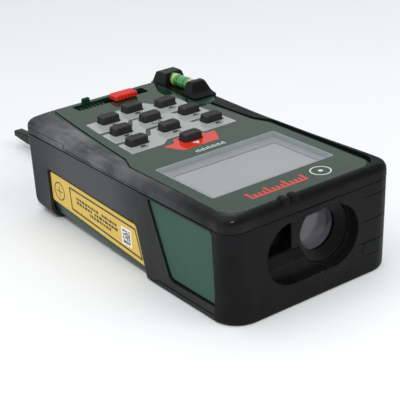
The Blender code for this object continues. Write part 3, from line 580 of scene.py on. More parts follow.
def circle(x, y, radius, step=15):
    """Outline with a corner every few degrees."""
    turns = [math.radians(a) for a in range(0, 360, step)]
    return [(x + radius * math.cos(a), y + radius * math.sin(a), 0) for a in turns]


def turned(bm, profile, centre, segments):
    """Rings of vertices from a profile of (radius, y), turned about a line along Y."""
    rings = []
    for k in range(segments):
        angle = 2 * math.pi * k / segments
        rings.append([bm.verts.new((centre[0] + radius * math.cos(angle), y,
                                    centre[1] + radius * math.sin(angle))) for radius, y in profile])
    return rings + rings[:1]


def lathe(profile, centre, segments):
    """Closed ring from a profile of (radius, y), turned about a line along Y."""
    bm = bmesh.new()
    bridge(bm, turned(bm, profile, centre, segments))
    return bm


def dome(profile, centre, segments=64):
    """Solid of revolution about a line along Y; the profile starts and ends on the axis."""
    bm = bmesh.new()
    first, last = (bm.verts.new((centre[0], profile[n][1], centre[1])) for n in (0, -1))
    rings = turned(bm, profile[1:-1], centre, segments)
    for near, far in zip(rings, rings[1:]):
        bm.faces.new((first, near[0], far[0]))
        bm.faces.new((last, far[-1], near[-1]))
        for i in range(len(near) - 1):
            bm.faces.new((near[i], near[i + 1], far[i + 1], far[i]))
    return bm


def loft(sections):
    """Solid through sections (y, outline), each outline a ring of x, z points of equal count."""
    bm = bmesh.new()
    return close(bm, [[bm.verts.new((x, y, z)) for x, z in outline] for y, outline in sections])


def stack(outlines):
    """Solid through flat outlines of equal count, each given with its height."""
    bm = bmesh.new()
    return close(bm, [[bm.verts.new((p.x, p.y, z)) for p in points] for points, z in outlines])


def cushion_stack(centre, levels):
    """Solid from rounded rectangles (half x, half y, corner radius, z), closed at both ends."""
    bm = bmesh.new()
    rings = []
    for half_x, half_y, radius, z in levels:
        outline = fillet(rectangle((-half_x, half_x), (-half_y, half_y), radius), 15)
        rings.append([bm.verts.new((centre[0] + p.x, centre[1] + p.y, z)) for p in outline])
    bridge(bm, rings)
    bm.faces.new(reversed(rings[0]))
    tip = bm.verts.new((centre[0], centre[1], levels[-1][3]))
    top = rings[-1]
    for i, vertex in enumerate(top):
        bm.faces.new((vertex, top[(i + 1) % len(top)], tip))
    return bm


def soften(bm, width, segments, test, angle=40):
    """Bevel the sharp edges whose two ends pass the test."""
    chosen = []
    for edge in bm.edges:
        if (len(edge.link_faces) == 2 and edge.calc_face_angle(0.0) >= math.radians(angle)
                and all(test(vertex.co) for vertex in edge.verts)):
            chosen.append(edge)
    bmesh.ops.bevel(bm, geom=chosen, offset=width, segments=segments, profile=0.5,
                    affect="EDGES", clamp_overlap=True)


def slice_up(bm, normal, places):
    """Cut the mesh with planes so that later moves bend it smoothly."""
    for place in places:
        everything = list(bm.verts) + list(bm.edges) + list(bm.faces)
        bmesh.ops.bisect_plane(bm, geom=everything, dist=1e-4, plane_co=normal * place,
                               plane_no=normal)


def rise(y):
    """Extra height of the top at y."""
    return RISE * (max(0.0, y - RISE_FROM) / (REAR - RISE_FROM)) ** 2


def bow(bm, high=1e3):
    """Lift the points below a height along the curve of the top."""
    slice_up(bm, ALONG, range(-10, 52, 4))
    for vertex in bm.verts:
        if vertex.co.z < high:
            vertex.co.z += rise(vertex.co.y)
    return bm


# ---------------------------------------------------------------- outlines

def body_outline(grow, corner=FRONT_CORNER):
    """Outside of the rubber, seen from above."""
    return [(-HALF_WIDTH - grow, FRONT - grow, corner), (HALF_WIDTH + grow, FRONT - grow, corner),
            (HALF_WIDTH + grow, 0, 0), (REAR_HALF_WIDTH + grow, RUBBER_REAR + grow, REAR_CORNER),
            (-REAR_HALF_WIDTH - grow, RUBBER_REAR + grow, REAR_CORNER), (-HALF_WIDTH - grow, 0, 0)]


def core_outline(grow):
    """Housing inside the rubber, with the tongue that reaches back between the grips."""
    side = CORE_HALF_WIDTH + grow
    tongue = TONGUE_HALF_WIDTH + grow
    return [(-side, CORE_FRONT - grow, CORE_CORNER), (side, CORE_FRONT - grow, CORE_CORNER),
            (side, CORE_REAR + grow, CORE_CORNER), (tongue, CORE_REAR + grow, 0),
            (tongue, 51.8 + grow, 0), (-tongue, 51.8 + grow, 0),
            (-tongue, CORE_REAR + grow, 0), (-side, CORE_REAR + grow, CORE_CORNER)]


def fascia_outline(grow=0.0, rear=50.2):
    """Face plate: wide round the display, then narrower towards the rear."""
    half = [(25.2 + grow, -48.0 - grow, 5.0 + grow), (25.2 + grow, -2.4, 1.6),
            (23.0 + grow, PLATE_BEND, 1.6), (19.2 + grow, rear, 0)]
    return half + [(-x, y, radius) for x, y, radius in reversed(half)]


def plate_half_width(y):
    """Half width of the plate's opening in the rim."""
    if y < -2.4:
        return 26.4
    if y < PLATE_BEND:
        return 26.4 - 2.2 * (y + 2.4) / 5.6
    return 24.2 - 3.8 * (y - PLATE_BEND) / 47.0


def key_holes():
    """Outlines of the holes that the keys come through."""
    half = [size / 2 + 0.25 for size in KEY_SIZE]
    return [rectangle((x - half[0], x + half[0]), (y - half[1], y + half[1]), 0.9)
            for x, y in KEYS.values()]


def tub(half_width, radius, bottom, top, step=10):
    """Section in x and z with rounded lower corners and an open top."""
    corners = [(-half_width, top, 0), (-half_width, bottom, radius),
               (half_width, bottom, radius), (half_width, top, 0)]
    return [tuple(point) for point in fillet(corners, step)]


def corner_stations(end, inward, side, corner, radius, angles):
    """Stations (y, half width, lower radius) along a rounded corner of the body."""
    return [(end + inward * corner * (1 - math.sin(math.radians(a))),
             side - corner * (1 - math.cos(math.radians(a))), radius) for a in angles]


def core_stations(grow):
    side = CORE_HALF_WIDTH + grow
    front = corner_stations(CORE_FRONT - grow, 1, side, CORE_CORNER, 1.0, (90, 60, 30, 0))
    rear = corner_stations(CORE_REAR + grow, -1, side, CORE_CORNER, 5.8, (0, 30, 60, 90))
    return front + [(-15.0, side, 1.0), (12.0, side, 3.2), (40.0, side, 5.8)] + rear


# ---------------------------------------------------------------- rubber

RIM_OUTER = ((-52.0, 31.7), (-42.0, 31.7), (-32.0, 31.35), (-20.0, 30.95), (-5.0, 30.75),
             (8.0, 30.85), (22.0, 31.2), (52.0, 31.9))
RIM_INNER = ((-52.0, 31.5), (-20.0, 31.4), (-4.0, 31.35), (4.0, 31.05), (12.0, 31.0), (52.0, 32.45))
RIM_TOP = 31.35
RIM_ROUND = 2.2
RIM_BEND = 28.6
SIGHT_BUMPS = (-9.5, -6.2)


def clamp(share):
    return min(1.0, max(0.0, share))


def along(table, y):
    """Value at y from a table of (y, value)."""
    for (y0, v0), (y1, v1) in zip(table, table[1:]):
        if y <= y1:
            return v0 + (v1 - v0) * clamp((y - y0) / (y1 - y0))
    return table[-1][1]


def groove(depth, z, within, corners=(FRONT_CORNER, FRONT_CORNER)):
    """Cutter for a groove round the outside of the body between two heights, inside a box."""
    return keep(slab([body_outline(4.0, corners[0]), body_outline(-depth, corners[1])], z),
                box(*within))


def rim():
    """Rubber rim round the plate: raised in front, flush at the rear, with a soft crease."""
    low = RUBBER_SPLIT + GAP
    levels = [(low, 0.3), (low + 0.1, 0.09), (low + 0.3, 0.0), (RIM_TOP - RIM_ROUND, 0.0)]
    for angle in range(15, 91, 15):
        turn = math.radians(angle)
        levels.append((RIM_TOP - RIM_ROUND + RIM_ROUND * math.sin(turn),
                       RIM_ROUND * (1 - math.cos(turn))))
    bm = stack([(fillet(body_outline(-inset, FRONT_CORNER - inset), 8), z) for z, inset in levels])
    slice_up(bm, ALONG, range(-50, 53, 3))
    slice_up(bm, ACROSS, range(-28, 29, 4))
    for vertex in bm.verts:
        x, y, z = vertex.co
        inner = plate_half_width(y)
        across = clamp(max((abs(x) - inner) / (28.4 - inner), (-49.2 - y) / 2.4))
        height = along(RIM_INNER, y) * (1 - across) + along(RIM_OUTER, y) * across
        vertex.co.z += (height - RIM_TOP) * max(0.0, (z - RIM_BEND) / (RIM_TOP - RIM_BEND))
    bm = cut(bm, slab([core_outline(GAP)], (0.0, DECK_TOP + GAP)),
             slab([fascia_outline(1.2, REAR + 4)], (0.0, ABOVE)),
             box((15.0, 35.0), (LEVEL_FRONT - GAP, FAR), (DECK_TOP, ABOVE)),
             rod((CORNER_CUT, 28.2), "Z", CORNER_CUT_RADIUS, (DECK_TOP, ABOVE)),
             box((-19.2, 19.2), (49.0, FAR), (0.0, ABOVE)))
    for depth, z, y in ((0.25, (29.3, 29.55), (29.5, FAR)), (0.30, (27.9, 29.5), (29.1, 29.5)),
                        (0.22, (27.75, 28.0), (-16.0, 28.4))):
        bm = cut(bm, groove(depth, z, ((-FAR, FAR), y, (z[0] - 1, z[1] + 1))))
    for x in SIGHT_BUMPS:
        bump = [(1.25, 1.7, 1.1, 29.4), (1.25, 1.7, 1.1, 31.5), (1.05, 1.5, 0.9, 31.95),
                (0.6, 1.1, 0.5, 32.2)]
        bm = join(bm, cushion_stack((x, -50.2), bump))
    soften(bm, 0.28, 2, lambda co: co.z > 30.3 and co.y > FRONT + 1.6, angle=50)
    finish_mesh("rubber_rim", bm, RUBBER_TOP, "black_rubber", "top_bumper")


def panel_outline(grow=0.0):
    top = WINDOW_TOP + grow
    return [(-44.3 - grow, 5.0 - grow, 0.6), (-24.6 + grow, 4.6 - grow, 2.5),
            (-16.0 + 1.3 * grow, top, 0.6), (-44.3 - grow, top, 0.6)]


INK_LEFT = (-28.20, -28.10)
LABEL_CORNERS = [(-11.4, 3.2), (41.1, 7.5), (41.1, 17.0), (-7.8, 15.1)]


def grip_stations():
    stations = [(-44.6, HALF_WIDTH, 0.8), (-30.0, HALF_WIDTH, 0.8), (-14.0, HALF_WIDTH, 0.8),
                (0.0, HALF_WIDTH, 2.0), (20.0, HALF_WIDTH, 3.2), (41.0, 28.95, 4.8)]
    return stations + corner_stations(RUBBER_REAR, -1, REAR_HALF_WIDTH, REAR_CORNER, 5.5,
                                      range(0, 91, 15))


def grip(side, name):
    """Rubber side grip with the window for the panel and the recess for the label."""
    def reach(near, far):
        return (near, far) if side > 0 else (-far, -near)

    bm = loft([(y, tub(w, r, 0.0, RUBBER_SPLIT)) for y, w, r in grip_stations()])
    bm = cut(bm, loft([(y, tub(w, r, -0.6, 30.0, 30)) for y, w, r in core_stations(GAP)]))
    bm = keep(bm, box(reach(19.2, FAR), (-FAR, FAR), (-5, ABOVE)))
    recess = [(-13.4, -3.0, 0), (41.6, -3.0, 0), (41.6, 18.2, 1.2), (-8.4, 16.4, 2.2)]
    lower_line = [(-46.0, 2.2, 0), (-18.0, 2.2, 0), (-14.0, 0.8, 0), (-14.3, 0.5, 0), (-18.2, 1.8, 0),
                  (-46.0, 1.8, 0)]
    bm = cut(bm, slab([recess], reach(20.0, 40.0), "YZ"),
             slab([panel_outline(0.35)], reach(20.0, 40.0), "YZ"),
             slab([lower_line], reach(28.75, 32.0), "YZ"))
    soften(bm, 0.45, 3, lambda co: abs(co.x) > 28.2 and 2.6 < co.z < 26.7, angle=60)
    finish_mesh(name + "_skin", bm, RUBBER, "black_rubber", name)


# ---------------------------------------------------------------- nose and optics

def nose_plan(inset, corner):
    """Front end of the body, cut off behind its rounded corners."""
    side = HALF_WIDTH - inset
    return fillet([(-side, -44.9, 0), (-side, FRONT + inset, corner), (side, FRONT + inset, corner),
                   (side, -44.9, 0)], 7.5)


def from_front(outlines, near, far, step=12):
    """Slab with outlines in x and z, between two depths measured along -Y."""
    return slab(outlines, (near, far), "XZ", step)


def well_bore():
    return rod(LENS_AXIS, "Y", WELL_RADIUS, (FRONT - 1, CORE_FRONT + 1), segments=64)


def nose():
    """Black front moulding: rounded corners, oblong recess, laser pocket, grooves at the right."""
    face = -FRONT
    heights = ((0.0, 0.6, 7.9), (0.25, 0.2, 7.9), (0.8, 0.0, 7.8), (1.6, 0.0, 7.7), (9.0, 0.0, 7.0),
               (18.0, 0.0, 6.1), (26.6, 0.0, 5.4), (27.1, 0.1, 5.3))
    bm = stack([(nose_plan(inset, corner), z) for z, inset, corner in heights])
    bm = cut(bm, slab([core_outline(GAP)], (-1.0, ABOVE)),
             from_front([rectangle((-16.8, 15.4), (6.9, 25.1), 8.9)], face - 2.6, face + 3.0, 7),
             well_bore())
    bm = cut(bm, keep(from_front([rectangle((-16.4, -6.3), (15.7, 24.4), 0.9)], 40.0, face + 1.0),
                      from_front([rectangle((-16.5, 15.1), (7.2, 24.8), 8.6)], 39.0, face + 2.0, 7)))
    ledge = slab([[(-49.0, 15.5, 0), (-49.6, 15.5, 0.2), (-50.9, 12.6, 0.2), (-50.9, 12.2, 0),
                   (-49.0, 12.2, 0)]], (-18.0, 0.2), "YZ")
    inside = from_front([rectangle((-16.9, 15.5), (6.8, 25.2), 9.0)], face - 3.4, face + 1, 7)
    bm = join(bm, keep(cut(ledge, well_bore()), inside))
    for low, high, depth, left in ((16.6, 16.9, 0.14, 16.8), (23.7, 23.95, 0.12, 18.0),
                                   (9.95, 10.25, 0.30, 15.6), (6.0, 6.2, 0.14, 18.3)):
        bm = cut(bm, groove(depth, (low, high), ((left, 40.0), (-FAR, -47.6), (0.0, ABOVE)),
                            (9.0, FRONT_CORNER + 1.0)))
    end = from_front([rectangle((16.7, 30.0), (6.0, 10.25), 1.7),
                      rectangle((16.9, 29.0), (6.2, 9.95), 1.5)], face - 0.2, face + 1, 15)
    bm = cut(bm, keep(end, box((10.0, 18.4), (-FAR, -40.0), (0.0, 20.0))),
             groove(0.35, (27.0, 27.5), ((-6.5, 7.0), (-FAR, -47.5), (20.0, ABOVE)),
                    (9.0, FRONT_CORNER + 1)))
    soften(bm, 0.35, 2, lambda co: co.y < FRONT + 0.05 and 5.0 < co.z < 26.0, angle=60)
    finish_mesh("nose_moulding", bm, NOSE_BLACK, "black_plastic", "front_cap")


def optics():
    """Stepped, threaded well with the receiving lens at its end, and the laser window."""
    profile = [(8.75, -48.9)]
    for n in range(7):
        radius = 8.6 - 0.34 * n
        y = -48.9 + 0.36 * n
        profile += [(radius, y), (radius - 0.34, y + 0.05), (radius - 0.20, y + 0.30)]
    profile += [(6.5, -46.35), (8.75, -46.35)]
    finish_mesh("lens_well", lathe(profile, LENS_AXIS, 72), WELL_BLACK, "anodised", "lens_ring",
                angle=20)
    bezel = [(6.2, -45.3), (5.7, -44.0), (5.7, -43.6), (6.9, -43.6), (6.9, -45.1), (6.6, -45.3)]
    finish_mesh("lens_bezel", lathe(bezel, LENS_AXIS, 72), BEZEL_BLACK, "anodised")
    # The lens face takes the painted reflection grey.
    lens = [(0.0, -44.1)] + [(1.15 * n, -44.1 + 0.008 * n * n) for n in range(1, 7)]
    lens += [(7.2, -43.5), (7.2, -42.4), (0.0, -42.4)]
    finish_mesh("lens_front", dome(lens, LENS_AXIS), LENS_PAINTED_REFLECTION, "lens_glass", "receiving_lens",
                angle=60)
    turns = [math.radians(a) for a in range(15, 91, 15)]
    glass = [(0.0, -45.3)] + [(3.6 * math.sin(a), -44.6 - 0.7 * math.cos(a)) for a in turns]
    glass += [(3.75, -44.5), (3.75, -44.0), (0.0, -44.0)]
    finish_mesh("laser_glass", dome(glass, LASER_AXIS, 48), GLASS_GREY, "lens_glass", "laser_window",
                angle=60)
    collar = [(3.9, -46.0), (3.9, -45.4), (2.6, -45.6), (2.5, -45.9), (2.9, -46.1)]
    finish_mesh("laser_collar", lathe(collar, LASER_AXIS, 48), ANODISED, "anodised")


# ---------------------------------------------------------------- face plate

def face_plate():
    """Glossy plate, the frame of the display, its face and the mask round it."""
    holes = key_holes()
    holes += [rectangle((-13.4, 13.4), (45.1, 49.6), 0.8), rectangle(*DISPLAY, 0.8)]
    bm = slab([fascia_outline()] + holes, (FASCIA_TOP - 1.2, FASCIA_TOP), step=10)
    bm = cut(bm, *[rod((CORNER_CUT, y), "Z", CORNER_CUT_RADIUS, (20.0, ABOVE)) for y in (44.9, 28.2)],
             box((19.5, 40.0), (LEVEL_FRONT - GAP, FAR), (20.0, ABOVE)))
    finish_mesh("face_plate", bow(bm), FILM_GREEN, "fascia_gloss", "fascia")

    # The ring round the window carries the painted highlight of its bevelled edge.
    inner = [(low + 0.28, high - 0.28) for low, high in DISPLAY]
    edge = slab([rectangle(*DISPLAY, 0.8), rectangle(*inner, 0.55)],
                (DECK_TOP + 0.05, FASCIA_TOP - 0.03))
    finish_mesh("window_edge", edge, WINDOW_EDGE_HIGHLIGHT, "bezel_grey")
    shown = rectangle((-18.77, 18.77), (-32.77, -11.63), 0.35)
    finish_mesh("lcd_face", slab([shown], (27.75, DECK_TOP - 0.22)), LCD_GREY, "lcd_grey")
    mask = [(-18.79, -13.6, 0), (18.1, -13.6, 0.5), (18.1, -32.79, 0), (18.79, -32.79, 0.3),
            (18.79, -11.61, 0.4), (-18.79, -11.61, 0.4)]
    finish_mesh("lcd_mask", slab([mask], (DECK_TOP - 0.18, DECK_TOP)), BEZEL_GREY, "bezel_grey")


def printed(outlines, holes, depth, through, plane, step=12):
    """Thin film: the union of its outlines without the holes."""
    bm = functools.reduce(join, (slab([outline], depth, plane, step) for outline in outlines))
    return cut(bm, *[slab([hole], through, plane) for hole in holes])


def ink(name, outlines, look, level=0.03, holes=()):
    """Printed areas lying on the plate."""
    top = FASCIA_TOP + level
    bm = printed(outlines, holes, (top - 0.03, top), (FASCIA_TOP - 1, FASCIA_TOP + 1), "XY")
    finish_mesh(name, bow(bm), look, "fascia_gloss")


def band(left, bottom_side, top_side, bottom_middle, top_middle, right):
    """Field behind one row of keys: its middle sits higher than its two sides."""
    return [(left[0], bottom_side, 0.5), (-8.4, bottom_side, 0.6), (-5.7, bottom_middle, 0.5),
            (5.0, bottom_middle, 0.5), (6.2, bottom_side, 0.5), (right[0], bottom_side, 0.5),
            (right[1], top_side, 0.5), (8.4, top_side, 0.5), (6.0, top_middle, 0.5),
            (-5.0, top_middle, 0.6), (-7.4, top_side, 0.5), (left[1], top_side, 0.5)]


def prints():
    """Printed fields of the keypad, with the signs and scales."""
    rows = [band((-18.5, -17.8), 24.8, 33.8, 28.3, 37.4, (17.0, 16.7)),
            band((-18.9, -18.6), 14.9, 23.3, 18.7, 27.2, (18.0, 17.6)),
            band((-19.6, -19.2), 5.0, 13.5, 7.4, 17.3, (18.7, 18.4))]
    for n, row in enumerate(rows):
        ink(f"print_row_{n + 1}", [row], FILM_GREY, holes=key_holes())
    arrow = [(-9.9, 3.2, 0.3), (-7.0, -2.9, 0.4), (6.0, -2.9, 0.4), (9.1, 3.5, 0.3), (5.6, 3.6, 0.3),
             (4.6, 6.1, 0.3), (-4.4, 6.1, 0.3), (-6.0, 3.3, 0.3)]
    ink("print_arrow", [arrow], FILM_RED, holes=key_holes())
    ink("print_pointer", [[(-1.7, 0.35, 0.1), (-0.5, -1.8, 0.1), (0.7, 0.35, 0.1)]], FILM_WHITE, 0.05)
    key_icons()
    scales()


def key_icons():
    """Small generic signs in front of each key."""
    for name, (x, y) in KEYS.items():
        if name == "key_measure":
            continue
        low = y - KEY_SIZE[1] / 2 - 2.3
        kind = len(name) * 3 + int(x * 2) + int(y)
        marks = [rectangle((x - 1.5, x + 1.5), (low, low + 0.3), 0.1)]
        if kind % 3 == 0:
            marks += [rectangle((x - 1.5, x - 1.2), (low, low + 1.4), 0.1),
                      rectangle((x + 1.2, x + 1.5), (low, low + 1.4), 0.1)]
        elif kind % 3 == 1:
            marks += [[(x - 1.0, low + 0.6, 0.1), (x + 1.0, low + 0.6, 0.1), (x, low + 1.6, 0.1)]]
        else:
            marks += [rectangle((x - 0.9, x + 0.9), (low + 0.6, low + 1.5), 0.3)]
        ink(f"icon_{name}", marks, FILM_INK, 0.05)


def scales():
    """Generic scale marks between the keypad and the display and in front of the display."""
    marks = [rectangle((-5.0 + 0.9 * n, -4.6 + 0.9 * n), (-7.0, -5.2 if n % 2 else -5.7), 0.08)
             for n in range(12)]
    ink("scale_white", marks, FILM_WHITE)
    marks = [rectangle((-14.0 + 1.55 * n, -13.2 + 1.55 * n), (-43.2, -41.2 if n % 4 else -39.6), 0.15)
             for n in range(13)]
    marks.append(rectangle((-14.0, 5.4), (-43.5, -42.9), 0.1))
    ink("scale_red", marks, FILM_RED)
    ink("ring_mark", [circle(11.2, -41.6, 3.1)], FILM_WHITE, holes=[circle(11.2, -41.6, 2.7)])
    ink("ring_dot", [circle(11.2, -41.6, 0.7, 30)], FILM_WHITE)


def key_caps():
    """Soft keys with rounded shoulders and a shallow dish."""
    for name, (x, y) in KEYS.items():
        top = FASCIA_TOP + KEY_PROUD + rise(y)
        low = 26.9 + rise(y)
        rings = [(3.2, 2.0, 0.9, low), (3.2, 2.0, 0.9, top - 1.2), (3.16, 1.97, 0.9, top - 0.55),
                 (3.07, 1.88, 0.88, top - 0.22), (2.92, 1.74, 0.85, top - 0.05),
                 (2.72, 1.55, 0.8, top), (2.3, 1.15, 0.7, top - 0.01), (1.5, 0.7, 0.5, top - 0.06),
                 (0.7, 0.3, 0.25, top - 0.09)]
        bm = cushion_stack((x, y), rings)
        finish_mesh(name + "_cap", bm, KEY_BLACK, "key_rubber", name, body=name, angle=50)


# ---------------------------------------------------------------- level, slider, label

def level():
    """Level holder: a base with two bevelled blocks, bored for the vial."""
    x = (19.9, 28.3)
    base_top = 30.5
    bm = box(x, (LEVEL_FRONT, LEVEL_REAR), (DECK_TOP + 0.35, 31.9))
    rear_block = [(44.6, base_top, 0), (LEVEL_REAR, base_top, 0), (51.0, LEVEL_TOP, 1.2),
                  (45.4, LEVEL_TOP, 1.2)]
    front_block = [(LEVEL_FRONT, base_top, 0), (35.5, base_top, 0), (34.7, LEVEL_TOP, 1.0),
                   (31.6, LEVEL_TOP, 1.3), (30.2, 32.8, 1.0), (LEVEL_FRONT, 31.7, 0)]
    for corners, lean in ((rear_block, 1.9), (front_block, 3.4)):
        block = slab([corners], x, "YZ")
        for side, edge in zip((-1, 1), x):
            taper = [(edge, 31.6, 0), (edge + side * 3, 31.6, 0), (edge + side * 3, ABOVE, 0),
                     (edge - side * lean, ABOVE, 0)]
            block = cut(block, from_front([taper], -FAR, -20.0))
        bm = join(bm, block)
    soften(bm, 0.4, 3, lambda co: co.z > 31.0)
    bow(bm, high=31.0)
    bm = cut(bm, rod((LEVEL_X, VIAL_Z), "Y", VIAL_RADIUS + GAP, (32.6, 47.6)))
    finish_mesh("level_block", bm, HOLDER_BLACK, "black_plastic", "level_holder")


def vial():
    """Glass tube with the liquid, its bubble, two marks and the ends."""
    axis = (LEVEL_X, VIAL_Z)
    r = VIAL_RADIUS
    body = [(0.0, 33.0), (1.2, 33.0), (r * 0.97, 33.5), (r, 34.0), (r, 46.2), (r * 0.97, 46.7),
            (1.2, 47.2), (0.0, 47.2)]
    finish_mesh("vial_liquid", dome(body, axis, 40), VIAL_GREEN, "vial_green", "level_vial", angle=50)
    for n, (start, end) in enumerate(((35.2, 36.3), (43.4, 44.7))):
        plug = [(r + 0.02, start), (r + 0.05, start + 0.1), (r + 0.05, end - 0.1), (r + 0.02, end),
                (r - 0.3, end), (r - 0.3, start)]
        finish_mesh(f"vial_end_{n + 1}", lathe(plug, axis, 40), VIAL_END, "vial_green")
    for n, y in enumerate((38.0, 41.8)):
        mark = [(r + 0.01, y - 0.16), (r + 0.06, y - 0.1), (r + 0.06, y + 0.1), (r + 0.01, y + 0.16),
                (r - 0.2, y)]
        finish_mesh(f"vial_mark_{n + 1}", lathe(mark, axis, 40), INNER_BLACK, "vial_green")
    # Bubble near the top, pale as a painted highlight.
    bubble = bmesh.new()
    bmesh.ops.create_uvsphere(bubble, u_segments=24, v_segments=14, radius=1.0)
    bubble.transform(Matrix.Translation((LEVEL_X + 0.1, 39.6, VIAL_Z + r * 0.62))
                     @ Matrix.Diagonal((0.95, 1.5, 0.80, 1.0)))
    finish_mesh("vial_bubble", bubble, BUBBLE_HIGHLIGHT, "vial_green")


def slider():
    """Red slider with grooves on top and along its front side, and the teeth in its slot."""
    top = FASCIA_TOP + rise(46.0)
    x = (-0.3, 8.2)
    y = (43.6, 48.2)
    middle = (sum(x) / 2, sum(y) / 2)
    half = ((x[1] - x[0]) / 2, (y[1] - y[0]) / 2)
    shape = ((0.0, 0.0, 0.6, 0.3), (0.0, 0.0, 0.6, 1.35), (0.12, 0.12, 0.55, 1.7),
             (0.4, 0.4, 0.4, 1.88), (1.0, 0.9, 0.3, 1.9))
    bm = cushion_stack(middle, [(half[0] - inset_x, half[1] - inset_y, radius, top + z)
                                for inset_x, inset_y, radius, z in shape])
    for n in range(6):
        groove_x = x[0] + 0.95 + n * 1.3
        side = rectangle((groove_x - 0.28, groove_x + 0.28), (y[0] - 1.0, y[0] + 0.28))
        upper = [(groove_x - 0.3, top + 1.62, 0.1), (groove_x + 0.3, top + 1.62, 0.1),
                 (groove_x + 0.42, top + 3.0, 0), (groove_x - 0.42, top + 3.0, 0)]
        bm = cut(bm, slab([side], (top - 1, top + 3)),
                 from_front([upper], -y[1] + 0.5, -y[0] + 1.0))
    bm = join(bm, box((1.6, 6.4), (45.7, 47.6), (29.7, top + 0.8)))
    finish_mesh("slider_cap", bm, SLIDER_RED, "red_plastic", "lock_slider", body="pin_lock")
    lefts = [-12.6 + n * 1.35 for n in range(8)]
    teeth = join(*[box((left, left + 0.55), (46.2, 49.75), (28.4, 29.9)) for left in lefts])
    finish_mesh("slot_teeth", bow(teeth), SHELL_GREEN, "green_plastic")


def lock_coil():
    """Return spring of the lock: one end rests on the housing."""
    low, high = (Vector(corner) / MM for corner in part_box("lock_spring"))
    middle = (low + high) / 2
    wire = 0.18
    radius = (high.z - low.z) / 2 - wire
    length = high.x - low.x - 2 * wire
    per_turn = 16
    steps = 5 * per_turn
    sides = [2 * math.pi * n / 8 for n in range(8)]
    bm = bmesh.new()
    rings = []
    for k in range(steps + 1):
        turn = 2 * math.pi * k / per_turn
        outward = Vector((0.0, math.cos(turn), math.sin(turn)))
        place = Vector((low.x + wire + length * k / steps, middle.y, middle.z)) + radius * outward
        rings.append([bm.verts.new(place + wire * (math.sin(side) * ACROSS + math.cos(side) * outward))
                      for side in sides])
    piece = finish_mesh("lock_coil", close(bm, rings), STEEL, "steel", "lock_spring", angle=60)
    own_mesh(piece)


def side_print(name, outlines, look=None, depth=INK_LEFT, slot="label_yellow", holes=(), **more):
    """Thin print on a side, seen from the side as y, z outlines."""
    bm = printed(outlines, holes, depth, (-FAR, FAR), "YZ")
    finish_mesh(name, bm, look or LABEL_INK, slot, **more)


def inset(corners, amount, radius):
    """Outline with its sides moved inwards."""
    result = []
    for i, corner in enumerate(corners):
        before = (corner - corners[i - 1]).normalized()
        after = (corners[(i + 1) % len(corners)] - corner).normalized()
        normal = Vector((-before.y, before.x))
        bisector = (normal + Vector((-after.y, after.x))).normalized()
        point = corner + bisector * (amount / bisector.dot(normal))
        result.append((point.x, point.y, radius))
    return result


def line_at(share, height):
    """Point on the label at a share of its length and of its height."""
    a, b, c, d = (Vector(p) for p in LABEL_CORNERS)
    return a.lerp(b, share).lerp(d.lerp(c, share), height)


def bar(start, end, height, thick):
    """Thin bar that follows the label's slope; start and end are shares of its length."""
    a, b = line_at(start, height), line_at(end, height)
    up = Vector((0.0, thick / 2))
    return [(*corner, 0.05) for corner in (a - up, b - up, b + up, a + up)]


def labels():
    """Yellow label with a frame, plain lines and a square patch; silver label on the right."""
    rounded = [(y, z, 0.7) for y, z in LABEL_CORNERS]
    side_print("label_yellow_film", [rounded], LABEL_YELLOW, (-28.17, -27.9), stands_for="label_left")
    corners = [line_at(*place) for place in ((0.0, 0.0), (0.80, 0.0), (0.80, 1.0), (0.0, 1.0))]
    side_print("label_frame", [inset(corners, 1.25, 0.3)], holes=[inset(corners, 1.85, 0.2)])
    random.seed(SEED)
    bars = []
    for height, start, end in ((0.62, 0.25, 0.42), (0.62, 0.45, 0.70), (0.49, 0.25, 0.50),
                               (0.49, 0.53, 0.70), (0.36, 0.33, 0.56)):
        while start < end:
            length = random.uniform(0.012, 0.035)
            bars.append(bar(start, min(end, start + length), height, 0.85))
            start += length + 0.008
    side_print("label_lines", bars)
    y, z = line_at(0.905, 0.47)
    side_print("label_ring", [circle(y, z, 3.1)], holes=[circle(y, z, 2.7)])
    side_print("label_cross", [rectangle((y - 1.8, y + 1.8), (z - 0.15, z + 0.15)),
                               rectangle((y - 0.15, y + 0.15), (z - 1.8, z + 1.8))])
    patch_y, patch_z = (-4.3, 1.0), (6.5, 12.2)
    side_print("label_patch", [rectangle(patch_y, patch_z, 0.2)], LABEL_WHITE)
    cell = 0.42
    square = Matrix.Diagonal((0.06, cell * 0.9, cell * 0.9, 1.0))
    bm = bmesh.new()
    for row in range(10):
        for column in range(9):
            if random.random() < 0.5 or row == 0 or column == 0:
                centre = (-28.19, patch_y[0] + 0.75 + (column + 0.45) * cell,
                          patch_z[0] + 0.75 + (row + 0.45) * cell)
                bmesh.ops.create_cube(bm, size=1.0, matrix=Matrix.Translation(centre) @ square)
    finish_mesh("label_code", bm, LABEL_INK, "label_yellow")

    side_print("label_silver_film", [rounded], LABEL_SILVER, (27.9, 28.17), "label_silver",
               stands_for="label_right")
    lines = [bar(0.12, 0.12 + length, 0.2 + 0.15 * n, 0.5)
             for n, length in enumerate((0.6, 0.45, 0.55, 0.3, 0.5))]
    side_print("label_silver_lines", lines, depth=(28.10, 28.20), slot="label_silver")


# ---------------------------------------------------------------- stage

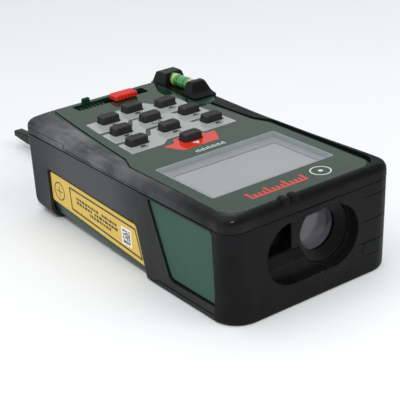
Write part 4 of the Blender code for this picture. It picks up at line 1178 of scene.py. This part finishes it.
def studio():
    """Pale floor, soft light all round with a darker side in front, and four area lights."""
    bpy.ops.mesh.primitive_plane_add(size=8.0, location=(0, 0, -0.00005))
    floor = bpy.context.object
    floor.name = "floor"
    nodes = Nodes("floor_white")
    shader = nodes.shader
    put(shader, Roughness=0.6, Specular_IOR_Level=0.25)
    cloud = nodes.spread(nodes.noise(0.004, 3.0), 0.3, 0.7)
    nodes.link(nodes.mix(cloud, (0.86, 0.875, 0.885), (0.89, 0.90, 0.905)),
               shader.inputs["Base Color"])
    floor.data.materials.append(nodes.material)

    world = bpy.data.worlds.new("studio")
    bpy.context.scene.world = world
    world.use_nodes = True
    tree = world.node_tree
    back = tree.nodes["Background"]
    coordinate = tree.nodes.new("ShaderNodeTexCoord")
    dot = tree.nodes.new("ShaderNodeVectorMath")
    dot.operation = "DOT_PRODUCT"
    dot.inputs[1].default_value = Vector((0.25, -1.0, 0.25)).normalized()
    tree.links.new(coordinate.outputs["Generated"], dot.inputs[0])
    ramp = tree.nodes.new("ShaderNodeMapRange")
    ramp.interpolation_type = "SMOOTHSTEP"
    put(ramp, From_Min=-0.2, From_Max=0.75, To_Min=0.75, To_Max=0.22)
    tree.links.new(dot.outputs["Value"], ramp.inputs["Value"])
    tree.links.new(ramp.outputs["Result"], back.inputs["Strength"])
    put(back, Color=(0.97, 0.985, 1.0, 1.0))

    add_area("softbox_top", (-0.15, 0.10, 0.80), (0, 0, 0), 0.9, 2.5)
    add_area("softbox_left", (-0.8, 0.15, 0.45), (0, 0, 0.01), 0.5, 0.25)
    add_area("glint", (-0.30, -0.45, 0.55), (-0.028, -0.05, 0.03), 0.04, 1.6)
    fill = add_area("fill_front", (0.22, -0.50, 0.50), (0.06, -0.16, 0), 0.5, 1.9)
    fill.visible_glossy = False


def add_area(name, place, target, size, power):
    light = bpy.data.lights.new(name, "AREA")
    light.size = size
    light.energy = power
    obj = new_object(name, light)
    obj.location = place
    obj.rotation_euler = (Vector(target) - Vector(place)).to_track_quat("-Z", "Y").to_euler()
    return obj


def camera():
    """The viewing angle: azimuth, elevation, roll, distance, target and focal length in pixels."""
    azimuth, elevation, roll = (math.radians(a) for a in (-34.93, 24.26, -3.68))
    distance = 343.79
    target = Vector((-1.18, -1.13, 12.43))
    back = Vector((math.sin(azimuth) * math.cos(elevation), -math.cos(azimuth) * math.cos(elevation),
                   math.sin(elevation)))
    right = Vector((0, 0, 1)).cross(back).normalized()
    up = back.cross(right)
    across = math.cos(roll) * right + math.sin(roll) * up
    above = -math.sin(roll) * right + math.cos(roll) * up
    data = bpy.data.cameras.new("camera")
    data.sensor_width = 36.0
    data.lens = 1146.03 / 400 * 36.0
    data.clip_start = 0.01
    data.clip_end = 20.0
    obj = new_object("camera", data)
    turn = Matrix((across, above, back)).transposed().to_4x4()
    obj.matrix_world = Matrix.Translation((target + back * distance) * MM) @ turn
    bpy.context.scene.camera = obj


bpy.context.scene.view_settings.view_transform = "Standard"
paint_cad_nodes()
rim()
grip(-1, "grip_left")
grip(1, "grip_right")
nose()
optics()
face_plate()
prints()
key_caps()
level()
vial()
slider()
lock_coil()
labels()
studio()
camera()
